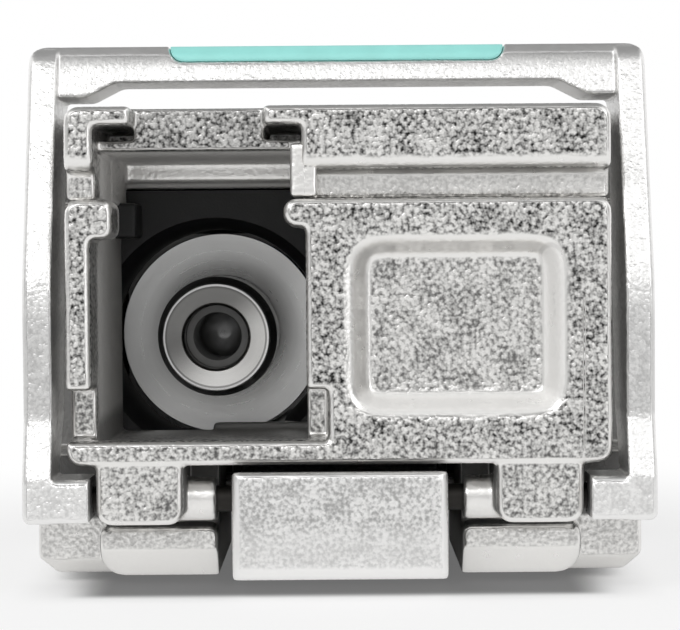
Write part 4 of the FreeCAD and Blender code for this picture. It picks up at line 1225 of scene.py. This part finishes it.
def floor_finish():
    """Pale paper that the camera sees as about white, with the shadow at the front and a painted shadow
    close under the body.
    """
    made, finish = material("pale floor")
    x, y, _ = finish.parts(finish.position(MM))
    seen = finish.ray("Is Camera Ray")
    mirrored = finish.ray("Is Glossy Ray")

    # Zones of the floor in millimetres: away from the nose, under the body, round its foot, and close under
    # it, where a painted shadow darkens the paper
    behind_nose = y + 4.0
    away = ((x * x + behind_nose * behind_nose) ** 0.5).step(8.0, 26.0)
    before_rear = y.step(49.0, 46.0)
    under = y.step(-7.5, -5.0) * before_rear * abs(x).step(9.0, 6.5)
    contact = y.step(-9.8, -8.0) * before_rear * abs(x).step(7.6, 5.6)
    floor_painted_shadow = y.step(-9.0, -8.3) * y.step(2.0, -2.0) * abs(x).step(6.4, 5.2) * (1.0 - mirrored)

    pale = finish.blend(finish.noise(60 * MM), (0.90, 0.90, 0.90), (0.94, 0.94, 0.94))
    # Painted shadow: dark paper close under the body, for all but glossy rays
    paper = finish.node("ShaderNodeBsdfDiffuse", None, finish.blend(floor_painted_shadow, pale, (0.1, 0.1, 0.1)))
    glow = finish.node("ShaderNodeEmission", None, (1.0, 1.0, 1.0), 1.0)
    white = (seen * (away * 0.3 + 0.7) * (1.0 - contact * 0.8)).largest(mirrored * 0.5 * (1.0 - under))
    surface = finish.node("ShaderNodeMixShader", None, white, paper, glow)
    finish.node("ShaderNodeOutputMaterial", None, surface)
    return made


def lay_floor():
    """Pale floor under the chin's rear edge and the rear edge of the body's floor."""
    front_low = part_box("base_shell")[0].z
    rear_contact = 37.1 * MM
    slope = -front_low / rear_contact
    reach = 1.5
    solid = bmesh.new()
    corners = ((-reach, -reach), (reach, -reach), (reach, reach), (-reach, reach))
    solid.faces.new([solid.verts.new((x, y, front_low + slope * y)) for x, y in corners])
    floor = new_object("floor", as_mesh(solid, "floor"))
    floor.data.materials.append(floor_finish())


def light_world():
    """White background, and a studio room that the metal reflects."""
    world = bpy.data.worlds.new("studio room")
    bpy.context.scene.world = world
    finish = Finish(world)
    direction = finish.node("ShaderNodeTexCoord", None, output="Generated")
    x, y, z = finish.parts(direction)

    # Zones of the room by direction, then how light each is
    behind = y.step(-0.1, 0.5)
    above = z.step(0.12, 0.36)
    zenith = z.step(0.72, 0.88).largest(behind * z.step(0.45, 0.65))
    beside = abs(x).step(0.2, 0.6)
    flank = abs(x).step(0.75, 0.95)
    high = z.step(0.30, 0.50)
    front = 0.50 + (above * 0.42).largest(beside * 0.1) + high * 0.33
    front = front * (1.0 - flank) + flank * 0.25
    room = front * (1.0 - behind) + behind * 0.9
    room = room * (1.0 - zenith) + zenith * 0.27
    shiny = finish.ray("Is Glossy Ray").largest(finish.ray("Is Transmission Ray"))
    white = finish.ray("Is Camera Ray").largest(shiny * behind * (1.0 - zenith))
    shader = finish.node("ShaderNodeBackground", None, room + white * (1.0 - room), 1.0)
    finish.node("ShaderNodeOutputWorld", None, shader)


def place_camera():
    """Camera at the photograph's viewing angle."""
    setting = studio()
    data = bpy.data.cameras.new("front camera")
    data.sensor_fit = "HORIZONTAL"
    data.lens = setting.lens
    data.clip_start = 1 * MM
    data.clip_end = 10.0
    camera = bpy.data.objects.new("front camera", data)
    bpy.context.scene.collection.objects.link(camera)
    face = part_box("base_shell")[0].y
    look = Euler((math.pi / 2 - setting.pitch, 0, -setting.yaw)).to_matrix()
    turn = look @ Matrix.Rotation(setting.roll, 3, "Z")
    camera.matrix_world = Matrix.Translation((0, face - setting.distance, setting.height)) @ turn.to_4x4()
    bpy.context.scene.camera = camera


class TRANSCEIVER_OT_stage(bpy.types.Operator):
    """Floor, soft light, white background and camera"""

    bl_idname = "transceiver.stage"
    bl_label = "Stage"

    def execute(self, context):
        lay_floor()
        light_world()
        place_camera()
        setting = studio()
        target = (0, -5 * MM, 5 * MM)
        key_place = (-90 * MM, -150 * MM, 130 * MM)
        key_size = (110 * MM, 90 * MM)
        soft_box("key", key_place, target, key_size, setting.key_strength)
        fill_place = (130 * MM, -110 * MM, 60 * MM)
        fill_size = (60 * MM, 120 * MM)
        soft_box("fill", fill_place, target, fill_size, setting.fill_strength)
        context.scene.view_settings.view_transform = "Standard"
        return {"FINISHED"}


class TRANSCEIVER_PT_build(bpy.types.Panel):
    """Sidebar panel with the settings and the building steps"""

    bl_label = "Transceiver"
    bl_idname = "TRANSCEIVER_PT_build"
    bl_space_type = "VIEW_3D"
    bl_region_type = "UI"
    bl_category = "Transceiver"

    def draw(self, context):
        for step in STEPS:
            self.layout.operator(step.bl_idname)
        for group in (castings(), collar(), colours(), studio()):
            box = self.layout.box()
            for key in group.__annotations__:
                box.prop(group, key)


STEPS = (
    TRANSCEIVER_OT_housing,
    TRANSCEIVER_OT_latch,
    TRANSCEIVER_OT_optics,
    TRANSCEIVER_OT_springs,
    TRANSCEIVER_OT_electronics,
    TRANSCEIVER_OT_stage,
)
CLASSES = (CastingSettings, CollarSettings, FinishColours, StudioSettings, *STEPS, TRANSCEIVER_PT_build)


def register():
    """Register the classes and hang the settings on the scene."""
    for made in CLASSES:
        bpy.utils.register_class(made)
    bpy.types.Scene.transceiver_castings = PointerProperty(type=CastingSettings)
    bpy.types.Scene.transceiver_collar = PointerProperty(type=CollarSettings)
    bpy.types.Scene.transceiver_colours = PointerProperty(type=FinishColours)
    bpy.types.Scene.transceiver_studio = PointerProperty(type=StudioSettings)


def unregister():
    """Take the settings and the classes away again."""
    del bpy.types.Scene.transceiver_studio
    del bpy.types.Scene.transceiver_colours
    del bpy.types.Scene.transceiver_collar
    del bpy.types.Scene.transceiver_castings
    for made in reversed(CLASSES):
        bpy.utils.unregister_class(made)


def main():
    """Build the pieces and the stage."""
    register()
    bpy.ops.transceiver.housing()
    bpy.ops.transceiver.latch()
    bpy.ops.transceiver.optics()
    bpy.ops.transceiver.springs()
    bpy.ops.transceiver.electronics()
    bpy.ops.transceiver.stage()


if __name__ == "__main__":
    main()
